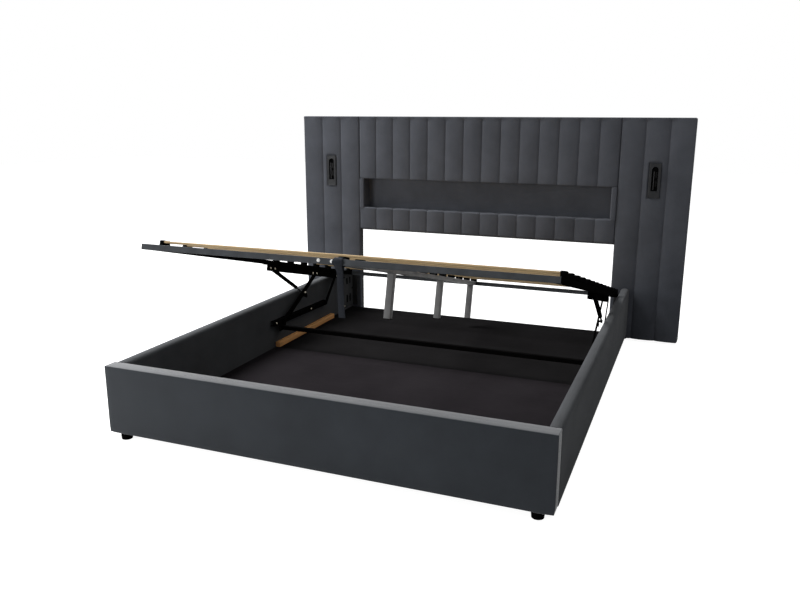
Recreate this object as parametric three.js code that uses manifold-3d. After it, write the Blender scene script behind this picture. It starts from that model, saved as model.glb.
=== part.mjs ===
// Lift-up storage bed with an upholstered, channelled headboard.
// The headboard has a storage niche and a power module on each wing.
// Millimetres, +Z up. X runs across the bed, Y from the footboard to the headboard.
// Inside the model Y starts at the footboard's front face; the whole model is then
// moved so that its origin is the middle of its footprint, on the floor.

import * as THREE from 'three';
import { mergeVertices } from 'three/addons/utils/BufferGeometryUtils.js';
import { RoundedBoxGeometry } from 'three/addons/geometries/RoundedBoxGeometry.js';
import Module from 'manifold-3d';

const wasm = await Module();
wasm.setup();

// Clearances and the overrun of every cutter
const seatGap = 0.3;
const overrun = 2;

// Upholstered base
const bedWidth = 1720;
const footboardThick = 59;
const railThick = 46;
const railLength = 2051;
const footHeight = 28;
const baseHeight = 268;
const coverThick = 5;
const coverRound = 9;
const coverRoundSteps = 2;
const footRadius = 22;
const footTipRadius = 20.5;
const footSides = 20;
const footInset = 57;
const footSetback = 28;

// Floor of the storage box
const panelThick = 6;
const panelTop = 40;
const frontPanelLength = 1106;
const headPanelClear = 8;
const beamWidth = 44;
const beamHeight = 18;
const beamPadLength = 70;
const beamPads = 3;
const battenWidth = 25;
const battenHeight = 27;
const battenLength = 632;

// Plates that hook the rails to the headboard
const plateThick = 3;
const hookPlateStart = 1972;
const hookPlateBottom = 52;
const hookPlateTop = 265;
const hookFlangeWidth = 34;
const hookSlotWidth = 9;
const hookSlotHeight = 18;
const hookSlotWide = 15;
const hookSlotTall = 28;
const hookSlotPitch = 34;
const hookSlotInset = 40;
const hookSlotStart = 22;

// Headboard
const headboardWidth = 2260;
const headboardBottom = 12;
const headboardTop = 1207;
const padThick = 25;
const boardThick = 28;
const wrapThick = 3;
const centreWidth = 1520;
const gapTop = 529;
const padDrop = 5;
const centreChannels = 14;
const wingChannels = 3;
const seamDrop = 9;
const seamSharpness = 4;
const padRoll = 17;
const nicheRoll = 7;
const seamRoll = 8;
const topBand = 24;
const scallopDrop = 6;
const nicheWidth = 1460;
const nicheBottom = 664;
const nicheTop = 842;
const nicheBackThick = 6;
const nicheDepth = 79;
const nicheWall = 15;
const glideRadius = 13;
const glideNear = 785;
const glideFar = 845;

// Power modules
const moduleBottom = 793;
const bezelWidth = 58;
const bezelHeight = 180;
const bezelThick = 5;
const bezelProud = 3;
const bezelRound = 4;
const slotWidth = 33;
const slotHeight = 122;
const slotDrop = 22;
const insertThick = 2;
const insertMargin = 3;
const insertBarWidth = 7;
const insertBarHeight = 96;
const insertBarDepth = 3;
const boxWidth = 50;
const boxHeight = 160;
const boxBackWall = 3;
const glandRadius = 8;
const glandLength = 9;

// Lift mechanism: pivots as [Y, Z]
const frontPivot = [1214, 176];
const rearPivot = [1684, 162];
const bracketDrop = 18;
const frontHingeAt = 1414;
const rearHingeAt = 1664;
const strutTopAt = 960;
const strutFootAlong = 245;
const strutFootDrop = 14;
const platformFront = [198.7, 715.5];
const platformTilt = THREE.MathUtils.degToRad(14);

const armInner = 782;
const armThick = 4;
const frontArmRadius = 13;
const rearArmRadius = 9;
const lugRadius = 11;
const lugTipRadius = 8;
const lugTipDrop = 40;
const lugTipAhead = 4;
const pivotRadius = 4;
const pivotHeadRadius = 8;
const pivotHeadHeight = 4;
const pivotSides = 12;
const pivotPinRadius = 5;
const driftClear = 4;
const driftSideClear = 2;

const baseBarDepth = 24;
const baseBarWall = 2.5;
const baseBarAbove = 9;
const baseBarBelow = 16;
const baseBarFront = 92;
const baseBarRear = 24;
const tieBarSize = 20;
const tieBarWall = 2;
const tieBarAt = [1192, 143];
const tiePlateBottom = 127;
const tiePlateTop = 190;
const tiePlateFront = 1165;
const tiePlateRear = 1230;

const bracketStart = 885;
const bracketEnd = 1720;
const bracketHeight = 32;
const bracketWall = 3;
const bracketFlange = 2.5;

const strutMiddle = 799;
const strutRadius = 10;
const strutLength = 288;
const strutShoulder = 14;
const strutSides = 12;
const strutStroke = 66;
const strutGrip = 30;
const eyeRadius = 8;
const eyeWidth = 8;
const rodRadius = 4;

// Lift-up platform: Y from its front edge, Z from the underside of its tubes
const platformWidth = 1614;
const platformLength = 1905;
const tubeHeight = 22;
const tubeWidth = 30;
const tubeWall = 1.5;
const slatCount = 13;
const slatFirst = 120.5;
const slatLast = 26.5;
const slatWidth = 38;
const slatThick = 8;
const slatTop = 42;
const slatEase = 0.4;
const holderLength = 21;
const holderWidth = 43;
const holderPocket = 16;
const holderLid = 2.6;
const restWidth = 36;
const lastLeg = 91;
const legPlaces = [600, 1262, platformLength - lastLeg];
const legSize = 30;
const legWall = 1.5;
const legBottom = 194;
const strapMiddle = 35.5;
const strapWidth = 25;
const strapThick = 2;
const strapSlack = 0.8;
const strapDrop = 201;
const strapJoinDrop = 34;

// Shares of a channel's width where the padded surface has a row of points
const channelShares = [0, 0.1, 0.35, 0.65, 0.9];
const rollShares = [0, 0.3, 1];
const deepestShare = 0.9;

// Places worked out from the sizes above
const baseTop = footHeight + baseHeight;
const railInner = bedWidth / 2 - railThick;
const headboardFront = footboardThick + railLength;
const boardFront = headboardFront + padThick + seatGap;
const boardBack = boardFront + boardThick;
const centreHalf = centreWidth / 2;
const nicheBack = headboardFront + nicheDepth;
const overallDepth = nicheBack + nicheBackThick;
const panelBottom = panelTop - panelThick;
const panelSeam = footboardThick + seatGap + frontPanelLength;
const moduleMiddle = (centreWidth + headboardWidth) / 4;
const platformHalf = platformWidth / 2;
const tubeInner = platformHalf - tubeWidth;
const webInner = tubeInner;
const baseBarInner = railInner - seatGap - baseBarDepth;
const slatBottom = slatTop - slatThick;
const slatPitch = (platformLength - slatFirst - slatLast) / (slatCount - 1);

// Builds solids and turns them into geometry

function solidOf(geometry) {
  const bare = geometry.clone();
  bare.deleteAttribute('normal');
  bare.deleteAttribute('uv');
  const merged = mergeVertices(bare);
  const vertProperties = new Float32Array(merged.attributes.position.array);
  const triVerts = new Uint32Array(merged.index.array);
  return new wasm.Manifold(new wasm.Mesh({ numProp: 3, vertProperties, triVerts }));
}

function geometryOf(solid) {
  const mesh = solid.getMesh();
  const geometry = new THREE.BufferGeometry();
  geometry.setAttribute('position', new THREE.BufferAttribute(new Float32Array(mesh.vertProperties), 3));
  geometry.setIndex(new THREE.BufferAttribute(new Uint32Array(mesh.triVerts), 1));
  geometry.computeVertexNormals();
  return geometry;
}

function join(...pieces) {
  return geometryOf(pieces.map(solidOf).reduce((sum, piece) => sum.add(piece)));
}

function cut(body, ...cutters) {
  return geometryOf(cutters.map(solidOf).reduce((rest, cutter) => rest.subtract(cutter), solidOf(body)));
}

function centred(middle, size) {
  return [middle - size / 2, middle + size / 2];
}

function box([x0, x1], [y0, y1], [z0, z1]) {
  const geometry = new THREE.BoxGeometry(x1 - x0, y1 - y0, z1 - z0);
  return geometry.translate((x0 + x1) / 2, (y0 + y1) / 2, (z0 + z1) / 2);
}

function roundedBox([x0, x1], [y0, y1], [z0, z1], radius) {
  const geometry = new RoundedBoxGeometry(x1 - x0, y1 - y0, z1 - z0, coverRoundSteps, radius);
  return geometry.translate((x0 + x1) / 2, (y0 + y1) / 2, (z0 + z1) / 2);
}

// A turned piece: its profile is a list of [radius, height] from the bottom to the top
function turned(profile, sides) {
  const points = profile.map(([radius, height]) => new THREE.Vector2(radius, height));
  return new THREE.LatheGeometry(points, sides);
}

function pointed(geometry, direction, [x, y, z]) {
  const turn = new THREE.Quaternion();
  turn.setFromUnitVectors(new THREE.Vector3(0, 1, 0), new THREE.Vector3(...direction));
  return geometry.applyQuaternion(turn).translate(x, y, z);
}

function rod(radius, length, direction, start, sides) {
  return pointed(turned([[0, 0], [radius, 0], [radius, length], [0, length]], sides), direction, start);
}

// A plate seen from the side: its shape is drawn in Y and Z and its thickness runs along X
function sidePlate(shape, [x0, x1], curveSegments) {
  const geometry = new THREE.ExtrudeGeometry(shape, { depth: x1 - x0, bevelEnabled: false, curveSegments });
  const basis = new THREE.Matrix4().makeBasis(
    new THREE.Vector3(0, 1, 0),
    new THREE.Vector3(0, 0, 1),
    new THREE.Vector3(1, 0, 0),
  );
  return geometry.applyMatrix4(basis).translate(x0, 0, 0);
}

// The right-hand piece as it is, or its mirror image for the left
function handed(geometry, side) {
  if (side > 0) {
    return geometry;
  }
  const mirrored = geometry.clone().scale(-1, 1, 1);
  const order = mirrored.index.array;
  for (let i = 0; i < order.length; i += 3) {
    [order[i], order[i + 1]] = [order[i + 1], order[i]];
  }
  return mirrored;
}

// Materials

function material(color, roughness, metalness = 0) {
  return new THREE.MeshStandardMaterial({ color, roughness, metalness });
}

const baseFabric = () => material(0x3b3e42, 0.85);
const headboardFabric = () => material(0x46474b, 0.8);
const darkPanel = () => material(0x2a2729, 0.8);
const plainWood = () => material(0xb5946a, 0.75);
const slatWood = () => material(0xc9a77c, 0.6);
const battenWood = () => material(0x8a5a2e, 0.7);
const greyPaint = () => material(0x5a5e63, 0.45, 0.3);
const blackPaint = () => material(0x17181a, 0.45, 0.3);
const blackPlastic = () => material(0x111112, 0.5);
const glossPlastic = () => material(0x1a1b1d, 0.2);
const brightSteel = () => material(0xb9bcc0, 0.3, 0.9);
const webbing = () => material(0x2f343c, 0.9);

function part(name, geometry, look) {
  const mesh = new THREE.Mesh(geometry, look);
  mesh.name = name;
  return mesh;
}

// Two parts from a right-hand piece: itself and its mirror image
function pair(name, geometry, look) {
  const indexed = geometry.index ? geometry : join(geometry);
  return [
    part(`${name}_left`, handed(indexed, -1), look()),
    part(`${name}_right`, indexed, look()),
  ];
}

// Upholstered base

function coveredBoard(x, y, z) {
  const inner = coverThick + seatGap;
  return box([x[0] + inner, x[1] - inner], [y[0] + inner, y[1] - inner], [z[0] + seatGap, z[1] - inner]);
}

function boardCover(x, y, z) {
  const pocketX = [x[0] + coverThick, x[1] - coverThick];
  const pocketY = [y[0] + coverThick, y[1] - coverThick];
  const shell = roundedBox(x, y, z, coverRound);
  return cut(shell, box(pocketX, pocketY, [z[0] - overrun, z[1] - coverThick]));
}

const footboardSpan = [[-bedWidth / 2, bedWidth / 2], [0, footboardThick], [footHeight, baseTop]];
const railSpan = [
  [railInner, bedWidth / 2],
  [footboardThick + seatGap, headboardFront - seatGap],
  [footHeight, baseTop],
];

function footboard() {
  return [
    part('footboard_board', coveredBoard(...footboardSpan), plainWood()),
    part('footboard_cover', boardCover(...footboardSpan), baseFabric()),
  ];
}

function rails() {
  return [
    ...pair('rail_board', coveredBoard(...railSpan), plainWood),
    ...pair('rail_cover', boardCover(...railSpan), baseFabric),
  ];
}

function bedFeet() {
  const profile = [
    [0, 0],
    [footTipRadius, 0],
    [footRadius, footHeight / 2],
    [footRadius, footHeight],
    [0, footHeight],
  ];
  const foot = pointed(turned(profile, footSides), [0, 0, 1], [bedWidth / 2 - footInset, footSetback, 0]);
  return pair('bed_foot', foot, blackPlastic);
}

// Floor of the storage box

function floorPanels() {
  const x = [-railInner + seatGap, railInner - seatGap];
  const start = footboardThick + seatGap;
  const end = headboardFront - headPanelClear;
  const z = [panelBottom, panelTop];
  return [
    part('floor_panel_front', box(x, [start, panelSeam], z), darkPanel()),
    part('floor_panel_rear', box(x, [panelSeam + seatGap, end], z), darkPanel()),
  ];
}

function floorBeam() {
  const top = panelBottom - seatGap;
  const start = footboardThick + seatGap;
  const end = headboardFront - headPanelClear;
  const span = [-beamWidth / 2, beamWidth / 2];
  const pads = [];
  for (let i = 0; i < beamPads; i += 1) {
    const middle = start + ((end - start) * (i + 0.5)) / beamPads;
    pads.push(box(span, [middle - beamPadLength / 2, middle + beamPadLength / 2], [0, top]));
  }
  return part('floor_beam', join(box(span, [start, end], [top - beamHeight, top]), ...pads), plainWood());
}

// The battens lie on the rear panel and start at its front edge
function railBattens() {
  const start = panelSeam + seatGap;
  const batten = box(
    [railInner - seatGap - battenWidth, railInner - seatGap],
    [start, start + battenLength],
    [panelTop + seatGap, panelTop + seatGap + battenHeight],
  );
  return pair('rail_batten', batten, battenWood);
}

function hookPlates() {
  const z = [hookPlateBottom, hookPlateTop];
  const outer = railInner - seatGap;
  const end = headboardFront - seatGap;
  const plate = box([outer - plateThick, outer], [hookPlateStart, end], z);
  const flange = box([railInner - hookFlangeWidth, outer], [end - plateThick, end], z);
  const slots = [];
  for (const place of [1, 2]) {
    const middle = hookPlateStart + hookSlotStart + place * hookSlotPitch;
    const high = hookPlateTop - hookSlotInset;
    const low = hookPlateBottom + hookSlotInset;
    const depth = [outer - plateThick - overrun, railInner];
    slots.push(box(depth, centred(middle, hookSlotWidth), [high - hookSlotHeight, high]));
    slots.push(box(depth, centred(middle, hookSlotWide), [low, low + hookSlotTall]));
  }
  return pair('rail_hook_plate', cut(join(plate, flange), ...slots), blackPaint);
}

// Channelled pads of the headboard

// Distance rolled back from the front face, this far in from a padded edge
function rollBack(inset, radius) {
  if (inset >= radius) {
    return 0;
  }
  const left = radius - inset;
  return radius - Math.sqrt(radius * radius - left * left);
}

function spread(start, end, shares) {
  return shares.map((share) => start + (end - start) * share);
}

// Columns of a pad: rolled ends with the channels between, each [x, share across its channel]
function padColumns([x0, x1], channels, rolls) {
  const pitch = (x1 - x0) / channels;
  const columns = [];
  for (let i = 0; i < channels; i += 1) {
    for (const share of channelShares) {
      columns.push([x0 + pitch * (i + share), share]);
    }
  }
  columns.push([x1, 1]);
  const inRoll = ([x]) => (x > x0 && x - x0 < rolls.left) || (x < x1 && x1 - x < rolls.right);
  const kept = columns.filter((column) => !inRoll(column));
  const shareAt = (x) => ((x - x0) / pitch) % 1;
  const ends = rollShares.slice(1);
  const leftEnd = ends.map((share) => x0 + rolls.left * share);
  const rightEnd = ends.map((share) => x1 - rolls.right * share);
  const added = [...leftEnd, ...rightEnd].map((x) => [x, shareAt(x)]);
  return [...kept, ...added].sort((a, b) => a[0] - b[0]);
}

function padRows([z0, z1], rolls, band) {
  const rows = [
    ...spread(z0, z0 + rolls.bottom, rollShares),
    z1 - band,
    ...spread(z1, z1 - rolls.top, rollShares).reverse(),
  ];
  return rows.filter((z, i) => i === 0 || z > rows[i - 1]);
}

// A pad with a crown on every channel and a drawn-in seam between them. The front surface is
// pushed back by the seam and by the rolled edges; the back is flat.
function channelPad({ x, z, channels, rolls, band, scallop = 0 }) {
  const columns = padColumns(x, channels, rolls);
  const rows = padRows(z, rolls, band);
  const points = [];
  const triangles = [];
  const back = headboardFront + padThick;
  for (const [px, share] of columns) {
    const seam = Math.abs(2 * share - 1) ** seamSharpness;
    const side = rollBack(px - x[0], rolls.left) + rollBack(x[1] - px, rolls.right);
    for (const pz of rows) {
      const inBand = Math.max(0, (pz - (z[1] - band)) / band);
      const fade = inBand > 0 && scallop === 0 ? 0 : 1;
      const edge = rollBack(pz - z[0], rolls.bottom) + rollBack(z[1] - pz, rolls.top);
      const depth = Math.min(seam * seamDrop * fade + Math.hypot(side, edge), padThick * deepestShare);
      points.push(px, headboardFront + depth, pz - scallop * seam * inBand);
    }
  }
  const width = rows.length;
  const frontAt = (i, j) => i * width + j;
  for (let i = 0; i + 1 < columns.length; i += 1) {
    for (let j = 0; j + 1 < width; j += 1) {
      const [a, b, c, d] = [frontAt(i, j), frontAt(i + 1, j), frontAt(i + 1, j + 1), frontAt(i, j + 1)];
      triangles.push(a, b, c, a, c, d);
    }
  }
  const rim = [];
  columns.forEach((column, i) => rim.push(frontAt(i, 0)));
  for (let j = 1; j < width; j += 1) {
    rim.push(frontAt(columns.length - 1, j));
  }
  for (let i = columns.length - 2; i >= 0; i -= 1) {
    rim.push(frontAt(i, width - 1));
  }
  for (let j = width - 2; j > 0; j -= 1) {
    rim.push(frontAt(0, j));
  }
  const firstBack = points.length / 3;
  rim.forEach((index) => points.push(points[index * 3], back, points[index * 3 + 2]));
  const middle = points.length / 3;
  points.push((x[0] + x[1]) / 2, back, (z[0] + z[1]) / 2);
  rim.forEach((index, k) => {
    const next = (k + 1) % rim.length;
    triangles.push(rim[next], index, firstBack + k, rim[next], firstBack + k, firstBack + next);
    triangles.push(firstBack + next, firstBack + k, middle);
  });
  const geometry = new THREE.BufferGeometry();
  geometry.setAttribute('position', new THREE.BufferAttribute(new Float32Array(points), 3));
  geometry.setIndex(triangles);
  return geometry;
}

// Power modules, drawn on the right wing

const moduleTop = moduleBottom + bezelHeight;
const moduleHeight = (moduleBottom + moduleTop) / 2;
const bezelFront = headboardFront - bezelProud;
const bezelBack = bezelFront + bezelThick;
const boxBack = boardBack - boxBackWall;

function modulePockets() {
  const rim = seatGap * 2;
  return [
    box(
      centred(moduleMiddle, bezelWidth + rim),
      [bezelFront - overrun, bezelBack + seatGap],
      centred(moduleHeight, bezelHeight + rim),
    ),
    box(
      centred(moduleMiddle, boxWidth + rim),
      [bezelFront, boxBack + seatGap],
      centred(moduleHeight, boxHeight + rim),
    ),
  ];
}

function glandHole() {
  const start = [moduleMiddle, boxBack - overrun, moduleHeight];
  return rod(glandRadius + seatGap, glandLength * 2, [0, 1, 0], start, pivotSides);
}

// Straight sides with a round top
function slotShape(halfWidth, bottom, top) {
  const shape = new THREE.Shape();
  shape.moveTo(-halfWidth, bottom);
  shape.lineTo(halfWidth, bottom);
  shape.lineTo(halfWidth, top - halfWidth);
  shape.absarc(0, top - halfWidth, halfWidth, 0, Math.PI, false);
  shape.lineTo(-halfWidth, bottom);
  return shape;
}

function slotCutter(depth) {
  const top = moduleTop - slotDrop;
  const shape = slotShape(slotWidth / 2, top - slotHeight, top);
  const options = { depth, bevelEnabled: false, curveSegments: pivotSides };
  const geometry = new THREE.ExtrudeGeometry(shape, options);
  return geometry.rotateX(Math.PI / 2).translate(moduleMiddle, bezelBack + overrun, 0);
}

function powerBezels() {
  const plate = roundedBox(
    centred(moduleMiddle, bezelWidth),
    [bezelFront, bezelBack + bezelRound],
    [moduleBottom, moduleTop],
    bezelRound,
  );
  const back = box(
    centred(moduleMiddle, bezelWidth + overrun),
    [bezelBack, bezelBack + bezelRound + overrun],
    [moduleBottom - overrun, moduleTop + overrun],
  );
  const bezel = cut(plate, back, slotCutter(bezelThick + overrun * 2));
  return pair('power_bezel', bezel, glossPlastic);
}

const insertFront = bezelBack + seatGap + insertBarDepth;

// The box in the board, the socket strip that closes its front and the cable gland behind it.
// Both boxes are the same, so the bar in front of the strip isn't mirrored
function powerBoxes() {
  const middle = moduleTop - slotDrop - slotHeight / 2;
  const strip = box(
    centred(moduleMiddle, slotWidth + insertMargin * 2),
    [insertFront, insertFront + insertThick],
    centred(middle, slotHeight + insertMargin * 2),
  );
  const bar = (boxMiddle) => box(
    centred(boxMiddle - insertBarWidth / 2, insertBarWidth),
    [insertFront - insertBarDepth, insertFront + insertThick],
    centred(middle, insertBarHeight),
  );
  const seat = insertFront + insertThick;
  const body = box(centred(moduleMiddle, boxWidth), [seat, boxBack], centred(moduleHeight, boxHeight));
  const start = boxBack - boxBackWall;
  const length = boxBackWall * 2 + glandLength;
  const gland = rod(glandRadius, length, [0, 1, 0], [moduleMiddle, start, moduleHeight], pivotSides);
  const shell = join(body, strip, gland);
  return [
    part('power_box_left', join(handed(shell, -1), bar(-moduleMiddle)), blackPlastic()),
    part('power_box_right', join(shell, bar(moduleMiddle)), blackPlastic()),
  ];
}

// Headboard

function wings() {
  const x = [centreHalf + seatGap / 2, headboardWidth / 2];
  const z = [headboardBottom, headboardTop];
  const pad = channelPad({
    x,
    z,
    channels: wingChannels,
    rolls: { left: seamRoll, right: padRoll, bottom: padRoll, top: padRoll },
    band: topBand,
  });
  const wrapY = [headboardFront + padThick - seatGap, boardBack];
  const sideWrap = box([x[1] - wrapThick, x[1]], wrapY, z);
  const topWrap = box(x, wrapY, [z[1] - wrapThick, z[1]]);
  const cover = cut(join(pad, sideWrap, topWrap), ...modulePockets());
  const boardX = [x[0], x[1] - wrapThick - seatGap];
  const boardZ = [z[0] + seatGap, z[1] - wrapThick - seatGap];
  const middle = (boardFront + boardBack) / 2;
  const glideTop = headboardBottom + seatGap * 2;
  const glides = [glideNear, glideFar].map((at) => (
    rod(glideRadius, glideTop, [0, 0, 1], [at, middle, 0], pivotSides)
  ));
  const bored = cut(box(boardX, [boardFront, boardBack], boardZ), ...modulePockets(), glandHole());
  return [
    ...pair('wing_pad', cover, headboardFabric),
    ...pair('wing_board', join(bored, ...glides), plainWood),
  ];
}

const centreSpan = [-centreHalf + seatGap / 2, centreHalf - seatGap / 2];

function centreBoards() {
  const y = [boardFront, boardBack];
  const upper = box(centreSpan, y, [nicheTop + nicheWall + seatGap, headboardTop - wrapThick - seatGap]);
  const lower = box(centreSpan, y, [gapTop, nicheBottom - nicheWall - seatGap]);
  return [
    part('centre_board_upper', upper, plainWood()),
    part('centre_board_lower', lower, plainWood()),
  ];
}

function centrePads() {
  const upper = channelPad({
    x: centreSpan,
    z: [nicheTop, headboardTop],
    channels: centreChannels,
    rolls: { left: seamRoll, right: seamRoll, bottom: nicheRoll, top: padRoll },
    band: topBand,
  });
  const wrapY = [headboardFront + padThick - seatGap, boardBack];
  const topWrap = box(centreSpan, wrapY, [headboardTop - wrapThick, headboardTop]);
  const lower = channelPad({
    x: centreSpan,
    z: [gapTop + padDrop, nicheBottom],
    channels: centreChannels,
    rolls: { left: seamRoll, right: seamRoll, bottom: padRoll, top: nicheRoll },
    band: topBand,
    scallop: scallopDrop,
  });
  return [
    part('centre_pad_upper', join(upper, topWrap), headboardFabric()),
    part('centre_pad_lower', lower, headboardFabric()),
  ];
}

// The lined box of the niche, with the padded strip at each side of its mouth
function niche() {
  const outerZ = [nicheBottom - nicheWall, nicheTop + nicheWall];
  const mouthX = [nicheWidth / 2, centreSpan[1]];
  const mouthZ = [nicheBottom + seatGap, nicheTop - seatGap];
  const strip = join(
    channelPad({
      x: mouthX,
      z: mouthZ,
      channels: 1,
      rolls: { left: nicheRoll, right: seamRoll, bottom: 0, top: 0 },
      band: nicheRoll,
    }),
    box(mouthX, centred(boardFront, overrun), mouthZ),
  );
  const hollow = box(
    centred(0, nicheWidth),
    [boardFront - overrun, nicheBack],
    [nicheBottom, nicheTop],
  );
  const lined = cut(box(centreSpan, [boardFront, overallDepth], outerZ), hollow);
  return part('niche_box', join(lined, strip, handed(strip, -1)), headboardFabric());
}

// Lift mechanism, drawn on the right side in the Y-Z plane

function stadium(length, radius) {
  const shape = new THREE.Shape();
  shape.absarc(length, 0, radius, -Math.PI / 2, Math.PI / 2, false);
  shape.absarc(0, 0, radius, Math.PI / 2, (Math.PI * 3) / 2, false);
  return shape;
}

function disc(y, z, radius) {
  const shape = new THREE.Shape();
  shape.absarc(y, z, radius, 0, Math.PI * 2, false);
  return shape;
}

function turnedPoint([y, z], angle) {
  return [y * Math.cos(angle) - z * Math.sin(angle), y * Math.sin(angle) + z * Math.cos(angle)];
}

function platformPoint(place) {
  const [y, z] = turnedPoint(place, -platformTilt);
  return [platformFront[0] + y, platformFront[1] + z];
}

function reach([y0, z0], [y1, z1]) {
  return { length: Math.hypot(y1 - y0, z1 - z0), angle: Math.atan2(z1 - z0, y1 - y0) };
}

const frontHinge = platformPoint([frontHingeAt, -bracketDrop]);
const rearHinge = platformPoint([rearHingeAt, -bracketDrop]);
const strutTop = platformPoint([strutTopAt, -bracketDrop]);
const baseBarSlope = reach(frontPivot, rearPivot).angle;
const frontArmReach = reach(frontPivot, frontHinge);
const rearArmReach = reach(rearPivot, rearHinge);
const strutFootOnArm = [strutFootAlong, -strutFootDrop];
const strutFootTurned = turnedPoint(strutFootOnArm, frontArmReach.angle);
const strutFoot = [frontPivot[0] + strutFootTurned[0], frontPivot[1] + strutFootTurned[1]];
const strutReach = reach(strutTop, strutFoot);

const armSpan = [armInner, armInner + armThick];
const eyeSpan = centred(strutMiddle, eyeWidth);

function pinHole(y, z, span, radius = pivotRadius + seatGap) {
  return rod(radius, span[1] - span[0] + overrun * 2, [1, 0, 0], [span[0] - overrun, y, z], pivotSides);
}

function lugShape() {
  const [y, z] = strutFootOnArm;
  const shape = new THREE.Shape();
  shape.moveTo(y - lugRadius, 0);
  shape.lineTo(y + lugTipAhead - lugTipRadius, z - lugTipDrop + lugRadius);
  shape.absarc(y + lugTipAhead, z - lugTipDrop + lugRadius, lugTipRadius, Math.PI, Math.PI * 2, false);
  shape.lineTo(y + lugRadius + lugTipAhead, 0);
  return shape;
}

function frontArm() {
  const { length } = frontArmReach;
  const bar = sidePlate(stadium(length, frontArmRadius), armSpan, pivotSides / 2);
  const lug = sidePlate(lugShape(), armSpan, pivotSides / 2);
  const [y, z] = strutFootOnArm;
  const stubEnd = strutMiddle - eyeWidth / 2 - seatGap;
  const stub = rod(pivotPinRadius, stubEnd - armInner, [1, 0, 0], [armInner, y, z], pivotSides);
  const holes = [pinHole(0, 0, armSpan), pinHole(length, 0, armSpan)];
  const headStart = [armInner - pivotHeadHeight, y, z];
  const head = rod(pivotHeadRadius, pivotHeadHeight + armThick / 2, [1, 0, 0], headStart, pivotSides);
  return cut(join(bar, lug, stub, head), ...holes);
}

function rearArm() {
  const { length } = rearArmReach;
  const bar = sidePlate(stadium(length, rearArmRadius), armSpan, pivotSides / 2);
  const start = [webInner - seatGap - pivotHeadHeight, length, 0];
  const pin = rod(pivotRadius, armInner - start[0] + armThick / 2, [1, 0, 0], start, pivotSides);
  const head = rod(pivotHeadRadius + seatGap, pivotHeadHeight, [1, 0, 0], start, pivotSides);
  return cut(join(bar, pin, head), pinHole(0, 0, armSpan));
}

// A riveted stud runs along X from the plate that carries it to its flat head
function rivet(y, z, root, headStart, direction) {
  const length = Math.abs(headStart - root);
  const profile = [
    [0, 0],
    [pivotRadius, 0],
    [pivotRadius, length],
    [pivotHeadRadius, length],
    [pivotHeadRadius, length + pivotHeadHeight],
    [0, length + pivotHeadHeight],
  ];
  return pointed(turned(profile, pivotSides), [direction, 0, 0], [root, y, z]);
}

// The bar bolts to the rail and carries the two lower pivots
function baseBar() {
  const length = Math.hypot(rearPivot[0] - frontPivot[0], rearPivot[1] - frontPivot[1]);
  const y = [-baseBarFront, length + baseBarRear];
  const z = [-baseBarBelow, baseBarAbove];
  const body = box([baseBarInner, railInner - seatGap], y, z);
  const channel = box(
    [baseBarInner + baseBarWall, railInner + overrun],
    [y[0] - overrun, y[1] + overrun],
    [z[0] + baseBarWall, z[1] - baseBarWall],
  );
  const root = baseBarInner + baseBarWall;
  const studs = [0, length].map((at) => rivet(at, 0, root, armInner - seatGap, -1));
  const spacerStart = armSpan[1] + seatGap;
  const spacer = rod(pivotHeadRadius, root - spacerStart, [1, 0, 0], [spacerStart, length, 0], pivotSides);
  return join(cut(body, channel), ...studs, spacer);
}

function crossTieBar() {
  const plateX = [armSpan[1] + seatGap, baseBarInner - seatGap];
  const plate = cut(
    box(plateX, [tiePlateFront, tiePlateRear], [tiePlateBottom, tiePlateTop]),
    pinHole(...frontPivot, plateX),
  );
  const outside = (size) => [centred(tieBarAt[0], size), centred(tieBarAt[1], size)];
  const bar = box(centred(0, plateX[1] * 2), ...outside(tieBarSize));
  const bore = box(centred(0, plateX[1] * 2 + overrun), ...outside(tieBarSize - tieBarWall * 2));
  return part('cross_tie_bar', cut(join(bar, plate, handed(plate, -1)), bore), blackPaint());
}

// Brackets, struts and platform, in the platform's own frame

// The rear arm's pin rides in a slot, which takes up the drift of that pivot in mid-stroke
function driftSlot(span) {
  const ends = [-driftClear, driftClear].map((shift) => (
    pinHole(rearHingeAt + shift, -bracketDrop, span, pivotRadius + driftSideClear)
  ));
  return join(...ends, box(
    [span[0] - overrun, span[1] + overrun],
    centred(rearHingeAt, driftClear * 2),
    centred(-bracketDrop, (pivotRadius + driftSideClear) * 2),
  ));
}

// An angle under the side tube, with the studs of the front arm and the strut
function upperBracket() {
  const webSpan = [webInner, webInner + bracketWall];
  const y = [bracketStart, bracketEnd];
  const web = box(webSpan, y, [-bracketHeight, -seatGap]);
  const flange = box([webInner, platformHalf], y, [-bracketFlange - seatGap, -seatGap]);
  const hinge = rivet(frontHingeAt, -bracketDrop, webInner, armSpan[1] + seatGap, 1);
  const strutStud = rivet(strutTopAt, -bracketDrop, webInner, eyeSpan[1] + seatGap, 1);
  return join(cut(join(web, flange), driftSlot(webSpan)), hinge, strutStud);
}

// The gas strut is drawn along +Y from its top pivot

function strutCylinder() {
  const eye = sidePlate(disc(0, 0, eyeRadius), eyeSpan, pivotSides / 2);
  const neckStart = [strutMiddle, pivotRadius + seatGap, 0];
  const neck = rod(rodRadius, strutShoulder, [0, 1, 0], neckStart, strutSides);
  const bodyStart = [strutMiddle, strutShoulder, 0];
  const body = rod(strutRadius, strutLength - strutShoulder, [0, 1, 0], bodyStart, strutSides);
  const boreDepth = strutStroke + strutGrip;
  const boreStart = [strutMiddle, strutLength - boreDepth, 0];
  const bore = rod(rodRadius + seatGap, boreDepth + overrun, [0, 1, 0], boreStart, strutSides);
  return cut(join(eye, neck, body), pinHole(0, 0, eyeSpan), bore);
}

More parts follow.
